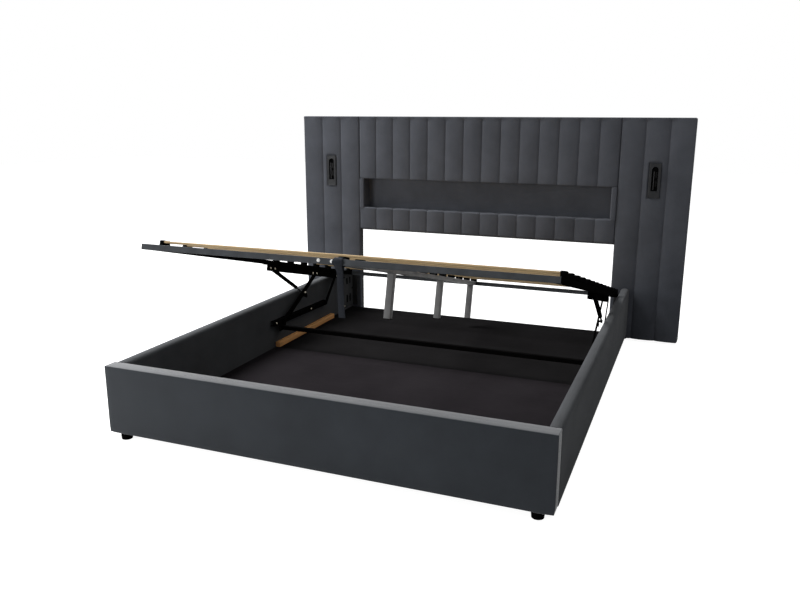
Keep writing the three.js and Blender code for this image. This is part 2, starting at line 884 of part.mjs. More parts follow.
function strutRod() {
  const end = strutReach.length;
  const start = strutLength - strutGrip;
  const eye = sidePlate(disc(end, 0, eyeRadius), eyeSpan, pivotSides / 2);
  const shaft = rod(rodRadius, end - start, [0, 1, 0], [strutMiddle, start, 0], strutSides);
  return join(eye, shaft);
}

function hollowTube(x, y, z, wall, along) {
  const inside = [x, y, z].map((span, axis) => (
    axis === along ? [span[0] - overrun, span[1] + overrun] : [span[0] + wall, span[1] - wall]
  ));
  return cut(box(x, y, z), box(...inside));
}

const tubeZ = [0, tubeHeight];
const slatPlaces = Array.from({ length: slatCount }, (unused, i) => slatFirst + slatPitch * i);

// The front tube runs across the ends of the side tubes, the head tube between them
function crossTubes() {
  const frontX = [-platformHalf, platformHalf];
  const headX = [-tubeInner + seatGap, tubeInner - seatGap];
  const headY = [platformLength - tubeWidth, platformLength];
  return [
    part('front_tube', hollowTube(frontX, [0, tubeWidth], tubeZ, tubeWall, 0), greyPaint()),
    part('head_tube', hollowTube(headX, headY, tubeZ, tubeWall, 0), greyPaint()),
  ];
}

// A side tube with the plastic holders riveted on top of it, one for each slat
function sideTubes() {
  const along = [tubeWidth + seatGap, platformLength];
  const tube = hollowTube([tubeInner, platformHalf], along, tubeZ, tubeWall, 1);
  const x = [platformHalf - holderLength, platformHalf];
  const z = [tubeHeight - tubeWall / 2, slatTop + seatGap + holderLid];
  const holders = slatPlaces.map((y) => box(x, centred(y, holderWidth), z));
  const pockets = slatPlaces.map((y) => box(
    [x[0] - overrun, x[0] + holderPocket],
    centred(y, slatWidth + seatGap * 2),
    [slatBottom - seatGap, slatTop + seatGap],
  ));
  return pair('side_tube', cut(join(tube, ...holders), ...pockets), blackPaint);
}

// The middle tube with its welded legs and the rests that the slats lie on
function centreBeam() {
  const half = legSize / 2;
  const beamY = [tubeWidth + seatGap, platformLength - tubeWidth - seatGap];
  const beam = hollowTube([-tubeWidth / 2, tubeWidth / 2], beamY, tubeZ, tubeWall, 1);
  const legs = legPlaces.map((y) => (
    hollowTube([-half, half], [y - half, y + half], [-legBottom, tubeWall / 2], legWall, 2)
  ));
  const rests = slatPlaces.map((y) => box(
    centred(0, tubeWidth),
    centred(y, restWidth),
    [tubeHeight - tubeWall / 2, slatBottom - seatGap],
  ));
  const overHeadTube = box(
    centred(0, tubeWidth + overrun),
    [beamY[1], platformLength],
    [-overrun, tubeHeight + seatGap],
  );
  return part('centre_beam', cut(join(beam, ...legs, ...rests), overHeadTube), blackPaint());
}

// Each slat's top is planed down a little at both ends, where it goes into its holders
function slats() {
  const mouth = platformHalf - holderLength - seatGap;
  const end = platformHalf - holderLength + holderPocket - seatGap;
  return slatPlaces.map((y, i) => {
    const width = centred(y, slatWidth);
    const middle = box([-mouth, mouth], width, [slatBottom, slatTop]);
    const tongues = box([-end, end], width, [slatBottom, slatTop - slatEase]);
    return part(`slat_${String(i + 1).padStart(2, '0')}`, join(middle, tongues), slatWood());
  });
}

// The strap loops round the front tube and hangs straight down, drawn level about the tube's middle
function pullStrap() {
  const corners = (margin) => [[1, 1], [-1, 1], [-1, -1], [1, -1]].map(([y, z]) => (
    turnedPoint([y * (tubeWidth / 2 + margin), z * (tubeHeight / 2 + margin)], -platformTilt)
  ));
  const [backTop, frontTop, frontLow, backLow] = corners(strapSlack + strapThick);
  const outline = [
    backTop,
    frontTop,
    frontLow,
    [-strapThick, -strapJoinDrop],
    [-strapThick, -strapDrop],
    [strapThick, -strapDrop],
    [strapThick, -strapJoinDrop],
    backLow,
  ];
  const shape = new THREE.Shape(outline.map(([y, z]) => new THREE.Vector2(y, z)));
  shape.holes.push(new THREE.Path(corners(strapSlack).reverse().map(([y, z]) => new THREE.Vector2(y, z))));
  const strap = part('pull_strap', sidePlate(shape, centred(strapMiddle, strapWidth), 1), webbing());
  return turnedGroup([tubeWidth / 2, tubeHeight / 2], platformTilt, strap);
}

function turnedGroup([y, z], angle, ...pieces) {
  const group = new THREE.Group();
  group.position.set(0, y, z);
  group.rotation.x = angle;
  group.add(...pieces);
  return group;
}

function platform() {
  return turnedGroup(
    platformFront,
    -platformTilt,
    ...crossTubes(),
    ...sideTubes(),
    centreBeam(),
    ...slats(),
    ...pair('upper_bracket', upperBracket(), blackPaint),
    pullStrap(),
  );
}

function mechanism() {
  return [
    crossTieBar(),
    turnedGroup(frontPivot, baseBarSlope, ...pair('base_bar', baseBar(), blackPaint)),
    turnedGroup(frontPivot, frontArmReach.angle, ...pair('front_arm', frontArm(), blackPaint)),
    turnedGroup(rearPivot, rearArmReach.angle, ...pair('rear_arm', rearArm(), blackPaint)),
    turnedGroup(
      strutTop,
      strutReach.angle,
      ...pair('strut_cylinder', strutCylinder(), blackPaint),
      ...pair('strut_rod', strutRod(), brightSteel),
    ),
  ];
}

const bed = new THREE.Group();
bed.position.y = -overallDepth / 2;
bed.add(...footboard(), ...rails(), ...bedFeet(), ...hookPlates());
bed.add(...floorPanels(), floorBeam(), ...railBattens());
bed.add(...wings(), ...centreBoards(), ...centrePads(), niche(), ...powerBezels(), ...powerBoxes());
bed.add(...mechanism(), platform());

const model = new THREE.Group();
model.add(bed);

export default model;
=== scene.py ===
"""Looks of a lift-up storage bed with a channelled headboard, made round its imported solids.

Shapes are worked out in bed millimetres: X across the bed, Y from the footboard's front
towards the headboard, Z up from the floor. They are moved to the frame's metres at the end.
"""

import math

import bmesh
import bpy
import numpy as np
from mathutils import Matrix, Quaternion, Vector

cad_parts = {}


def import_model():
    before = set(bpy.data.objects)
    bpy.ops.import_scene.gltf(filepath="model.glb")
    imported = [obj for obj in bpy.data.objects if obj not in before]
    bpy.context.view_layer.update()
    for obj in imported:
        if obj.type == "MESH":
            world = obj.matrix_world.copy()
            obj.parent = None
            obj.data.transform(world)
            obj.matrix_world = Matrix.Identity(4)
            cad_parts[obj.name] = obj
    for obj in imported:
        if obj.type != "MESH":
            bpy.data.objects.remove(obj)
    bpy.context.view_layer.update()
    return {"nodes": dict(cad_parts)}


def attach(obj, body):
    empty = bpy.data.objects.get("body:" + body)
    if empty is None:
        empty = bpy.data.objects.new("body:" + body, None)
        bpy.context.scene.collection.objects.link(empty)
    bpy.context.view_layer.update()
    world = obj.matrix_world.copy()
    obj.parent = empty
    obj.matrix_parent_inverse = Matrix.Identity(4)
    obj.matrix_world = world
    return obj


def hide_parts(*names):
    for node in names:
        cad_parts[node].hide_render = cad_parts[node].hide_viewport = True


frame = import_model()

MM = 0.001
GAP = 0.3
SIDES = {"left": -1, "right": 1}

# The smallest radius of a turned profile and of a rounded edge
CORE = 0.1
LEAST_RADIUS = 0.05

# Upholstered base
BED_HALF = 860
FOOTBOARD_THICK = 59
RAIL_INNER = 814
BASE_BOTTOM = 28
BASE_TOP = 296
HEADBOARD_FRONT = 2110
WADDING = 5.3
FOOT_CORNER = 11
FOOT_MIDDLE = (803, 28)
THREAD_SIZE = (0.8, 0.9)
FLOOR_TOP = 40
BATTEN_SIZE = (25, 27)
BATTEN_SPAN = (1165.6, 1797.6)

# Faces of the hook plates and the lift's base bars that look to the middle of the bed
HOOK_PLATE_FACE = RAIL_INNER - GAP - 3
BASE_BAR_FACE = RAIL_INNER - GAP - 24

# Headboard
HEADBOARD_HALF = 1130
HEADBOARD_BOTTOM = 12
HEADBOARD_TOP = 1207
CENTRE_HALF = 760
PAD_THICK = 25
BOARD_BACK = 2163.3
NICHE_HALF = 730
NICHE_BOTTOM = 664
NICHE_TOP = 842
NICHE_WALL = 15
NICHE_BACK = 2189
HEADBOARD_REAR = 2195
GAP_TOP = 529
WING_CHANNELS = 3
CENTRE_CHANNELS = 14
TOP_BAND = 24
SCALLOP = 5
WING_CORNER = 15
TOP_CORNER = 9
WRAP_THICK = 3
MIDDLE_Y = HEADBOARD_REAR / 2

# Power modules
MODULE_MIDDLE = 945
MODULE_BOTTOM = 793
MODULE_TOP = 973
MODULE_HEIGHT = (MODULE_BOTTOM + MODULE_TOP) / 2
MODULE_WIDTH = 58
SLOT_TOP = 957
SLOT_BOTTOM = 829
SLOT_HALF = 16.5

# Lift mechanism, pivots as (Y, Z)
TILT = math.radians(14)
PLATFORM_FRONT = (198.7, 715.5)
FRONT_PIVOT = (1214, 176)
REAR_PIVOT = (1684, 162)
BRACKET_DROP = 18
FRONT_HINGE_AT = 1414
REAR_HINGE_AT = 1664
STRUT_TOP_AT = 960
STRUT_FOOT = (245, -14)
ARM_INNER = 782
ARM_THICK = 4
WEB_INNER = 777
GUIDE_PIN_FACE = WEB_INNER - 4.3
BRACKET_SPAN = (885, 1720)
BRACKET_HEIGHT = 32
STRUT_MIDDLE = 799

# Platform
PLATFORM_HALF = 807
PLATFORM_LENGTH = 1905
TUBE_WIDTH = 30
TUBE_HEIGHT = 22
TUBE_WALL = 1.5
TUBE_ROUND = 2.6
SLAT_PLACES = 120.5 + 146.5 * np.arange(13)
SLAT_TOP = 42
SLAT_BOTTOM = 34
SLAT_THICK = SLAT_TOP - SLAT_BOTTOM
SLAT_MIDDLE = (SLAT_TOP + SLAT_BOTTOM) / 2
SLAT_WIDTH = 38
SLAT_END = 801.7
HOLDER_MOUTH = 786
HOLDER_WIDTH = 43
HOLDER_TOP = 44.9
REST_WIDTH = 36
STRAP_MIDDLE = 35.5
STRAP_WIDTH = 25
STRAP_END = -200
LEG_PLACES = (600, 1262, 1814)
LEG_BOTTOM = -194
LEG_SIZE = 30


# Shapes as arrays of points and faces

def grid_faces(rows, cols, wrap_rows=False, wrap_cols=False):
    """Four-cornered faces between neighbours of a grid whose points are counted row by row."""
    i = np.arange(rows if wrap_rows else rows - 1)[:, None]
    j = np.arange(cols if wrap_cols else cols - 1)[None, :]
    below, beside = (i + 1) % rows, (j + 1) % cols
    corners = [i * cols + j, i * cols + beside, below * cols + beside, below * cols + j]
    return np.stack(np.broadcast_arrays(*corners), -1).reshape(-1, 4)


def loft(rings, capped=True):
    """Closed outlines joined in their order. The ends close by a fan to their middle,
    or else the last outline joins the first."""
    rings = np.asarray(rings, float)
    n, m = rings.shape[:2]
    faces = grid_faces(n, m, wrap_rows=not capped, wrap_cols=True).tolist()
    points = rings.reshape(-1, 3)
    if capped:
        ring = np.arange(m)
        after = (ring + 1) % m
        last = (n - 1) * m
        faces += np.stack([after, ring, np.full(m, n * m)], -1).tolist()
        faces += np.stack([ring + last, after + last, np.full(m, n * m + 1)], -1).tolist()
        points = np.concatenate([points, [rings[0].mean(0), rings[-1].mean(0)]])
    return points, faces


def rounded_outline(width, height, radius, steps=4):
    """A rectangle about zero whose corners are quarter circles."""
    turn = np.linspace(0, math.pi / 2, steps + 1)
    arcs = []
    for k, (sx, sy) in enumerate([(1, 1), (-1, 1), (-1, -1), (1, -1)]):
        middle = np.array([sx * (width / 2 - radius), sy * (height / 2 - radius)])
        angle = turn + k * math.pi / 2
        arcs.append(middle + radius * np.stack([np.cos(angle), np.sin(angle)], -1))
    return np.concatenate(arcs)


def drawn_in(width, height, radius, inset, least=LEAST_RADIUS, steps=4):
    """A rounded rectangle drawn in on all four sides; its corners stay at least a little round."""
    return rounded_outline(width - 2 * inset, height - 2 * inset, max(radius - inset, least), steps)


def section(outline, place, along):
    """An outline set square to an axis, at a place on it."""
    return np.insert(outline, along, place, axis=1)


def end_steps(start, end, edge, steps=3):
    """Places along a bar with rounded ends, each with its inset: a quarter circle at each end."""
    turn = np.linspace(0, math.pi / 2, steps + 1)
    inset = edge * (1 - np.sin(turn))
    way = edge * (1 - np.cos(turn))
    return list(zip(start + way, inset)) + list(zip(end - way[::-1], inset[::-1]))


def solid_bar(along, span, middle, size, radius, edge=0.6):
    """A bar along an axis: a rounded rectangle carried from one end to the other, drawn in
    by a quarter circle at both ends."""
    rings = []
    for place, inset in end_steps(*span, edge):
        rings.append(section(drawn_in(*size, radius, inset) + middle, place, along))
    return loft(rings)


def hollow_bar(along, span, middle, size, radius, wall):
    """A tube along an axis: its outer outline goes out along the bar and its inner one back."""
    lip = wall * 0.3
    outer = rounded_outline(*size, radius)
    rim = drawn_in(*size, radius, lip)
    inner = drawn_in(*size, radius, wall, least=0.4)
    start, end = span
    steps = [(rim, start), (outer, start + lip), (outer, end - lip), (rim, end),
             (inner, end), (inner, start)]
    return loft([section(outline + middle, place, along) for outline, place in steps], capped=False)


def turned_piece(profile, at, direction, sides=24):
    """A profile of (radius, height) turned about an axis that starts at a point."""
    axis = Vector(direction).normalized()
    side = axis.orthogonal().normalized()
    other = axis.cross(side)
    angle = np.linspace(0, 2 * math.pi, sides, endpoint=False)
    ring = np.outer(np.cos(angle), side) + np.outer(np.sin(angle), other)
    rings = [np.array(at) + radius * ring + height * np.array(axis) for radius, height in profile]
    return loft(rings)


def pin(radius, length, head_radius, head_height):
    """Profile of a pin with a flat head at its far end."""
    top = length + head_height
    return [(CORE, 0), (radius, 0), (radius, length), (head_radius, length), (head_radius, top), (CORE, top)]


def inset_outline(outline, inset):
    """An outline drawn in by a distance along the mean normal of the two edges at each point."""
    edges = np.roll(outline, -1, axis=0) - outline
    normals = np.stack([edges[:, 1], -edges[:, 0]], -1)
    normals /= np.linalg.norm(normals, axis=1, keepdims=True)
    mean = normals + np.roll(normals, 1, axis=0)
    mean /= np.linalg.norm(mean, axis=1, keepdims=True)
    return outline - mean * inset


def plate(outline, x0, x1, edge=0.7):
    """A flat plate: its outline in Y and Z carried along X, with its edges broken."""
    steps = [(x0, edge), (x0 + edge * 0.3, edge * 0.3), (x0 + edge, 0)]
    steps += [(x1 - edge, 0), (x1 - edge * 0.3, edge * 0.3), (x1, edge)]
    return loft([section(inset_outline(outline, inset), x, 0) for x, inset in steps])


def arc(middle, radius, start, end, steps=10):
    """Points on a circle from one angle to another, in degrees."""
    angle = np.radians(np.linspace(start, end, steps))
    return np.stack([middle[0] + radius * np.cos(angle), middle[1] + radius * np.sin(angle)], -1)


def spaced(lo, hi, band_lo, band_hi, step):
    """Places from lo to hi: close together in the band at each end, evenly spaced between."""
    turn = np.linspace(0, math.pi / 2, 6)
    low = lo + band_lo * (1 - np.cos(turn))
    high = hi - band_hi * (1 - np.cos(turn))[::-1]
    count = max(2, int(round((high[0] - low[-1]) / step)) + 1)
    between = np.linspace(low[-1], high[0], count)[1:-1]
    return np.unique(np.round(np.concatenate([low, between, high]), 4))


def soft_block(lo, hi, radii_lo, radii_hi, step=20, puff_lo=(0, 0, 0), puff_hi=(0, 0, 0)):
    """An upholstered block. Each point of a box's six gridded faces is pulled on to the rounded
    box: the nearest point of the inner box, plus the way from it scaled to the radii. Each face
    then swells by its puff times (1 - a^4)(1 - b^4), a and b running from -1 to 1 across it."""
    lo, hi = np.array(lo, float), np.array(hi, float)
    radii_lo, radii_hi = np.array(radii_lo, float), np.array(radii_hi, float)
    places = [spaced(lo[k], hi[k], radii_lo[k], radii_hi[k], step) for k in range(3)]
    points, faces, count = [], [], 0
    for axis in range(3):
        a, b = [k for k in range(3) if k != axis]
        u, v = np.meshgrid(places[a], places[b], indexing="ij")
        for end in (lo[axis], hi[axis]):
            sheet = np.zeros((u.size, 3))
            sheet[:, a], sheet[:, b], sheet[:, axis] = u.ravel(), v.ravel(), end
            points.append(sheet)
            faces += (grid_faces(*u.shape) + count).tolist()
            count += u.size
    p = np.concatenate(points)
    middle, half = (lo + hi) / 2, (hi - lo) / 2
    radii = np.where(p < middle, radii_lo, radii_hi)
    inner = np.clip(p, lo + radii_lo, hi - radii_hi)
    way = (p - inner) / radii
    length = np.linalg.norm(way, axis=1, keepdims=True)
    p = inner + np.where(length > 1e-9, way / np.maximum(length, 1e-9), 0) * radii
    t = (p - middle) / half
    fade = 1 - np.clip(np.abs(t), 0, 1) ** 4
    puff = np.where(t > 0, np.array(puff_hi, float), -np.array(puff_lo, float))
    swell = np.stack([fade[:, 1] * fade[:, 2], fade[:, 0] * fade[:, 2], fade[:, 0] * fade[:, 1]], -1)
    return p + puff * swell * np.abs(t), faces


def turned_points(points, angle, origin):
    """Points drawn flat, turned about X by an angle and moved to an origin in Y and Z."""
    c, s = math.cos(angle), math.sin(angle)
    y, z = points[:, 1], points[:, 2]
    return np.stack([points[:, 0], origin[0] + y * c - z * s, origin[1] + y * s + z * c], -1)


def linked(name, data):
    """A new object in the scene."""
    made = bpy.data.objects.new(name, data)
    bpy.context.scene.collection.objects.link(made)
    return made


class Shape:
    """Closed surfaces gathered into one mesh. The attribute local keeps each point's place as
    it was drawn, in metres, for patterns that follow a tilted piece."""

    def __init__(self, turn=None):
        self.turn = turn
        self.points, self.drawn, self.faces, self.count = [], [], [], 0

    def add(self, *solids, side=1):
        """Takes up solids; side -1 mirrors them to the left."""
        for points, faces in solids:
            points = points * np.array([side, 1, 1])
            self.drawn.append(points)
            self.points.append(turned_points(points, *self.turn) if self.turn else points)
            self.faces += [[corner + self.count for corner in face] for face in faces]
            self.count += len(points)
        return self

    def make(self, name, body, look, slot=None, packed=None, sharp=38):
        """Builds the object, with its normals outward, and hangs it on its body. It may stand
        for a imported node. Edges over the sharp angle, in degrees, stay sharp."""
        points = np.concatenate(self.points) * MM
        points[:, 1] -= MIDDLE_Y * MM
        mesh = bpy.data.meshes.new(name)
        mesh.from_pydata(points.tolist(), [], self.faces)
        local = mesh.attributes.new("local", "FLOAT_VECTOR", "POINT")
        local.data.foreach_set("vector", (np.concatenate(self.drawn) * MM).astype(np.float32).ravel())
        bm = bmesh.new()
        bm.from_mesh(mesh)
        bmesh.ops.remove_doubles(bm, verts=bm.verts, dist=1e-6)
        bmesh.ops.dissolve_degenerate(bm, edges=bm.edges, dist=1e-7)
        bmesh.ops.recalc_face_normals(bm, faces=bm.faces)
        bm.to_mesh(mesh)
        bm.free()
        mesh.shade_smooth()
        mesh.set_sharp_from_angle(angle=math.radians(sharp))
        piece = linked(name, mesh)
        mesh.materials.append(look)
        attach(piece, body)
        if packed:
            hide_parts(packed)
        return piece


def pairs(*rows):
    """Left and right copies of pieces whose solids are drawn on the right: first the left copy
    of every row, then the right ones. A row is (turn, solids, name, body, look, slot, packed,
    sharp), where the last three may be missing and the side's name fills the braces."""
    pieces = []
    for side_name, side in SIDES.items():
        for turn, solids, *words in rows:
            shape = Shape(turn).add(*solids, side=side)
            words = [word.format(side_name) if isinstance(word, str) else word for word in words]
            pieces.append(shape.make(*words))
    return pieces


# Finishes

def node(tree, kind, inputs=(), **settings):
    """A shader node with its settings. Each input is a value or another node's output."""
    made = tree.nodes.new(kind)
    for key, value in settings.items():
        setattr(made, key, value)
    for key, value in dict(inputs).items():
        if isinstance(value, bpy.types.NodeSocket):
            tree.links.new(value, made.inputs[key])
        else:
            made.inputs[key].default_value = value
    return made


class Look:
    """A procedural finish in the making: a Principled shader fed by patterns in space."""

    def __init__(self, name, roughness, metallic=0.0, specular=0.5, **sockets):
        self.material = bpy.data.materials.new(name)
        self.material.use_nodes = True
        self.tree = self.material.node_tree
        self.shader = self.tree.nodes["Principled BSDF"]
        self.shader.inputs["Roughness"].default_value = roughness
        self.shader.inputs["Metallic"].default_value = metallic
        self.shader.inputs["Specular IOR Level"].default_value = specular
        for socket, value in sockets.items():
            self.shader.inputs[socket.replace("_", " ").title()].default_value = value
        self.place = self.node("ShaderNodeTexCoord").outputs["Object"]

    def node(self, kind, inputs=(), **settings):
        return node(self.tree, kind, inputs, **settings)

    def drawn(self):
        """From here on the patterns follow the piece as it was drawn, before it was tilted."""
        self.place = self.node("ShaderNodeAttribute", attribute_name="local").outputs["Vector"]
        return self

    def stretched(self, scale):
        return self.node("ShaderNodeMapping", {"Vector": self.place, "Scale": scale}).outputs["Vector"]

    def noise(self, scale, detail=3.0, stretch=None, roughness=0.5, distortion=0.0):
        place = self.stretched(stretch) if stretch else self.place
        inputs = {"Vector": place, "Scale": scale, "Detail": detail,
                  "Roughness": roughness, "Distortion": distortion}
        return self.node("ShaderNodeTexNoise", inputs).outputs["Fac"]

    def cells(self, scale, stretch=None):
        place = self.stretched(stretch) if stretch else self.place
        return self.node("ShaderNodeTexVoronoi", {"Vector": place, "Scale": scale}).outputs["Distance"]

    def bands(self, scale, direction, distortion=0.0):
        inputs = {"Vector": self.place, "Scale": scale, "Distortion": distortion}
        wave = self.node("ShaderNodeTexWave", inputs, wave_type="BANDS", bands_direction=direction)
        return wave.outputs["Fac"]

    def math(self, operation, a, b=0.0):
        return self.node("ShaderNodeMath", {0: a, 1: b}, operation=operation).outputs["Value"]

    def ramp(self, fac, *stops):
        made = self.node("ShaderNodeValToRGB", {"Fac": fac})
        elements = made.color_ramp.elements
        for element, (place, colour) in zip(elements, stops):
            element.position, element.color = place, (*colour, 1)
        for place, colour in stops[2:]:
            elements.new(place).color = (*colour, 1)
        return made.outputs["Color"]

    def multiplied(self, share, a, b):
        inputs = {0: share, 6: a, 7: b}
        return self.node("ShaderNodeMix", inputs, data_type="RGBA", blend_type="MULTIPLY").outputs[2]

    def colour(self, output):
        self.tree.links.new(output, self.shader.inputs["Base Color"])
        return self

    def rough(self, fac, low, high):
        inputs = {"Value": fac, "To Min": low, "To Max": high}
        value = self.node("ShaderNodeMapRange", inputs).outputs["Result"]
        self.tree.links.new(value, self.shader.inputs["Roughness"])
        return self

    def bump(self, *heights):
        """Each height is (pattern, depth in metres, strength); they add up in their order."""
        normal = None
        for pattern, depth, strength in heights:
            inputs = {"Height": pattern, "Distance": depth, "Strength": strength}
            if normal is not None:
                inputs["Normal"] = normal
            normal = self.node("ShaderNodeBump", inputs).outputs["Normal"]
        self.tree.links.new(normal, self.shader.inputs["Normal"])
        return self


def shades(colour, low, high):
    """A darker and a lighter tone of a colour."""
    return tuple(c * low for c in colour), tuple(c * high for c in colour)


def upholstery(name, colour, roughness, sheen):
    """Brushed woven cloth: cloudy tone, fine yarn and a soft nap."""
    look = Look(name, roughness, specular=0.0, sheen_weight=sheen, sheen_roughness=0.45)
    dark, light = shades(colour, 0.8, 1.22)
    cloud = look.noise(5.0, 4.0, roughness=0.6)
    yarn = look.noise(900.0, 2.0)
    tone = look.math("ADD", look.math("MULTIPLY", cloud, 0.65), look.math("MULTIPLY", yarn, 0.35))
    look.colour(look.ramp(tone, (0.3, dark), (0.7, light)))
    look.rough(cloud, roughness - 0.06, roughness + 0.08)
    warp = look.bands(420.0, "X")
    weft = look.bands(420.0, "Z")
    weave = look.math("MULTIPLY", warp, weft)
    pile = look.noise(160.0, 2.0)
    look.bump((cloud, 0.004, 0.12), (pile, 0.0006, 0.25), (weave, 0.0003, 0.3), (yarn, 0.0004, 0.3))
    return look.material


def backing_cloth(name, colour):
    """Thin bonded cloth: pressed fibres with a field of tiny dimples."""
    look = Look(name, 0.9, specular=0.25)
    dark, light = shades(colour, 0.7, 1.4)
    fibre = look.noise(500.0, 4.0, roughness=0.7)
    look.colour(look.ramp(fibre, (0.3, dark), (0.7, light)))
    look.bump((look.cells(420.0), 0.0005, 0.5), (fibre, 0.0004, 0.4))
    return look.material


def webbing(name, colour):
    """Woven strap: ribs across its length and a rougher edge of yarn."""
    look = Look(name, 0.8, specular=0.0, sheen_weight=0.06, sheen_roughness=0.4).drawn()
    dark, light = shades(colour, 0.65, 1.35)
    ribs = look.bands(330.0, "Z", 0.4)
    across = look.bands(260.0, "X", 0.3)
    look.colour(look.ramp(look.math("MULTIPLY", ribs, across), (0.1, dark), (0.9, light)))
    look.bump((ribs, 0.0007, 0.6), (across, 0.0004, 0.5))
    return look.material


def powder_coat(name, colour, roughness, specular):
    """Baked paint on steel: a fine orange peel with a little dust."""
    look = Look(name, roughness, specular=specular).drawn()
    dark, light = shades(colour, 0.85, 1.18)
    haze = look.noise(22.0, 4.0)
    look.colour(look.ramp(haze, (0.3, dark), (0.7, light)))
    look.rough(look.noise(60.0, 3.0), roughness - 0.06, roughness + 0.1)
    look.bump((look.noise(700.0, 2.0), 0.0004, 0.22), (look.noise(90.0, 1.0), 0.0005, 0.08))
    return look.material


def plated_steel(name, colour, roughness):
    """Zinc or polished steel: fine turning marks and faint stains."""
    look = Look(name, roughness, metallic=1.0)
    dark, light = shades(colour, 0.8, 1.1)
    stain = look.noise(180.0, 4.0)
    look.colour(look.ramp(stain, (0.3, dark), (0.75, light)))
    look.rough(stain, roughness - 0.06, roughness + 0.12)
    look.bump((look.noise(1500.0, 1.0), 0.0001, 0.3))
    return look.material


def moulded(name, colour, roughness, specular):
    """Moulded plastic: a spark-eroded grain."""
    look = Look(name, roughness, specular=specular)
    dark, light = shades(colour, 0.88, 1.14)
    look.colour(look.ramp(look.noise(40.0, 3.0), (0.3, dark), (0.7, light)))
    look.rough(look.noise(300.0, 2.0), roughness - 0.04, roughness + 0.06)
    look.bump((look.cells(1300.0), 0.0002, 0.2))
    return look.material


def planed_wood(name, colour, along, ply=0.0):
    """Planed wood: long wavy grain along one axis, pores in it and, on laminated pieces,
    glue lines through the thickness."""
    look = Look(name, 0.55, specular=0.12).drawn()
    stretch = [30.0, 30.0, 30.0]
    stretch[along] = 1.2
    dark, light = shades(colour, 0.68, 1.12)
    grain = look.noise(3.0, 6.0, stretch=stretch, roughness=0.62, distortion=1.2)
    tone = look.ramp(grain, (0.3, dark), (0.62, light), (0.48, colour))
    if ply:
        lines = look.bands(ply, "Z", 0.3)
        edge = look.ramp(lines, (0.0, (0.45, 0.4, 0.36)), (0.3, (1.0, 1.0, 1.0)))
        tone = look.multiplied(0.45, tone, edge)
    stretch[along] = 9.0
    pores = look.noise(26.0, 3.0, stretch=stretch, roughness=0.7)
    look.colour(tone)
    look.rough(grain, 0.48, 0.68)
    look.bump((grain, 0.0006, 0.25), (pores, 0.0004, 0.35))
    return look.material


def faced_board(name, colour):
    """A thin board faced with dark film: faint mottling and a satin, slightly scuffed face."""
    look = Look(name, 0.8, specular=0.0)
    dark, light = shades(colour, 0.85, 1.2)
    cloud = look.noise(3.0, 5.0, roughness=0.6)
    scuff = look.noise(14.0, 6.0, stretch=(1.0, 6.0, 1.0), roughness=0.7)
    tone = look.math("ADD", look.math("MULTIPLY", cloud, 0.7), look.math("MULTIPLY", scuff, 0.3))
    look.colour(look.ramp(tone, (0.35, dark), (0.65, light)))
    look.rough(scuff, 0.74, 0.9)
    look.bump((look.noise(800.0, 2.0), 0.0003, 0.25), (cloud, 0.002, 0.05))
    return look.material


BASE_CLOTH = upholstery("base_cloth", (0.0324, 0.0371, 0.0437), 0.7, 0.88)
# The rails are covered in the same cloth as the footboard. This copy has a lighter tone and less sheen, set
# for how the light falls on the rails: painted light, not a different cloth.
RAIL_CLOTH_PAINTED_LIGHT = upholstery("rail_cloth_painted_light", (0.0611, 0.064, 0.0683), 0.7, 0.1)
HEADBOARD_CLOTH = upholstery("headboard_cloth", (0.0698, 0.0743, 0.0863), 0.7, 0.1)
BACK_CLOTH = backing_cloth("back_cloth", (0.013, 0.013, 0.0143))
STRAP_WEBBING = webbing("strap_webbing", (0.0419, 0.0459, 0.0554))
THREAD = webbing("thread", (0.030, 0.032, 0.036))
GREY_COAT = powder_coat("grey_coat", (0.0616, 0.0658, 0.0714), 0.55, 0.04)
LEG_COAT = powder_coat("leg_coat", (0.144, 0.144, 0.145), 0.45, 0.2)
PLATE_COAT = powder_coat("plate_coat", (0.0338, 0.0345, 0.0358), 0.6, 0.03)
BLACK_COAT = powder_coat("black_coat", (0.0035, 0.0034, 0.0034), 0.6, 0.0)
ZINC = plated_steel("zinc_plate", (0.52, 0.47, 0.38), 0.34)
POLISHED = plated_steel("polished_rod", (0.050, 0.051, 0.054), 0.32)
BLACK_PLASTIC = moulded("black_plastic", (0.0035, 0.0035, 0.0037), 0.6, 0.0)
GLOSS_PLASTIC = moulded("gloss_plastic", (0.0025, 0.0025, 0.0027), 0.35, 0.06)
PLATE_PLASTIC = moulded("plate_plastic", (0.024, 0.025, 0.027), 0.4, 0.10)
RAIL_PLASTIC = moulded("rail_plastic", (0.040, 0.041, 0.044), 0.35, 0.12)
WHITE_PLASTIC = moulded("white_plastic", (0.72, 0.72, 0.70), 0.35, 0.5)
SLAT_WOOD = planed_wood("slat_wood", (0.634, 0.458, 0.25), 0, ply=420.0)
BATTEN_WOOD = planed_wood("batten_wood", (0.78, 0.39, 0.15), 1)
FRAME_WOOD = planed_wood("frame_wood", (0.42, 0.30, 0.18), 0)
FLOOR_BOARD = faced_board("floor_board", (0.0178, 0.0159, 0.0178))
# The rear floor panel is the same board as the front one in a darker tone: painted shade for the raised
# platform above it.
REAR_BOARD_PAINTED_SHADE = faced_board("rear_board_painted_shade", (0.0099, 0.00954, 0.0099))


def paint_nodes(look, *names):
    """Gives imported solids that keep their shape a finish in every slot."""
    for name in names:
        mesh = frame["nodes"][name].data
        if not mesh.attributes.get("local"):
            local = mesh.attributes.new("local", "FLOAT_VECTOR", "POINT")
            place = np.zeros(len(mesh.vertices) * 3, np.float32)
            mesh.vertices.foreach_get("co", place)
            local.data.foreach_set("vector", place)
        mesh.materials.clear()
        mesh.materials.append(look)


# Upholstered base

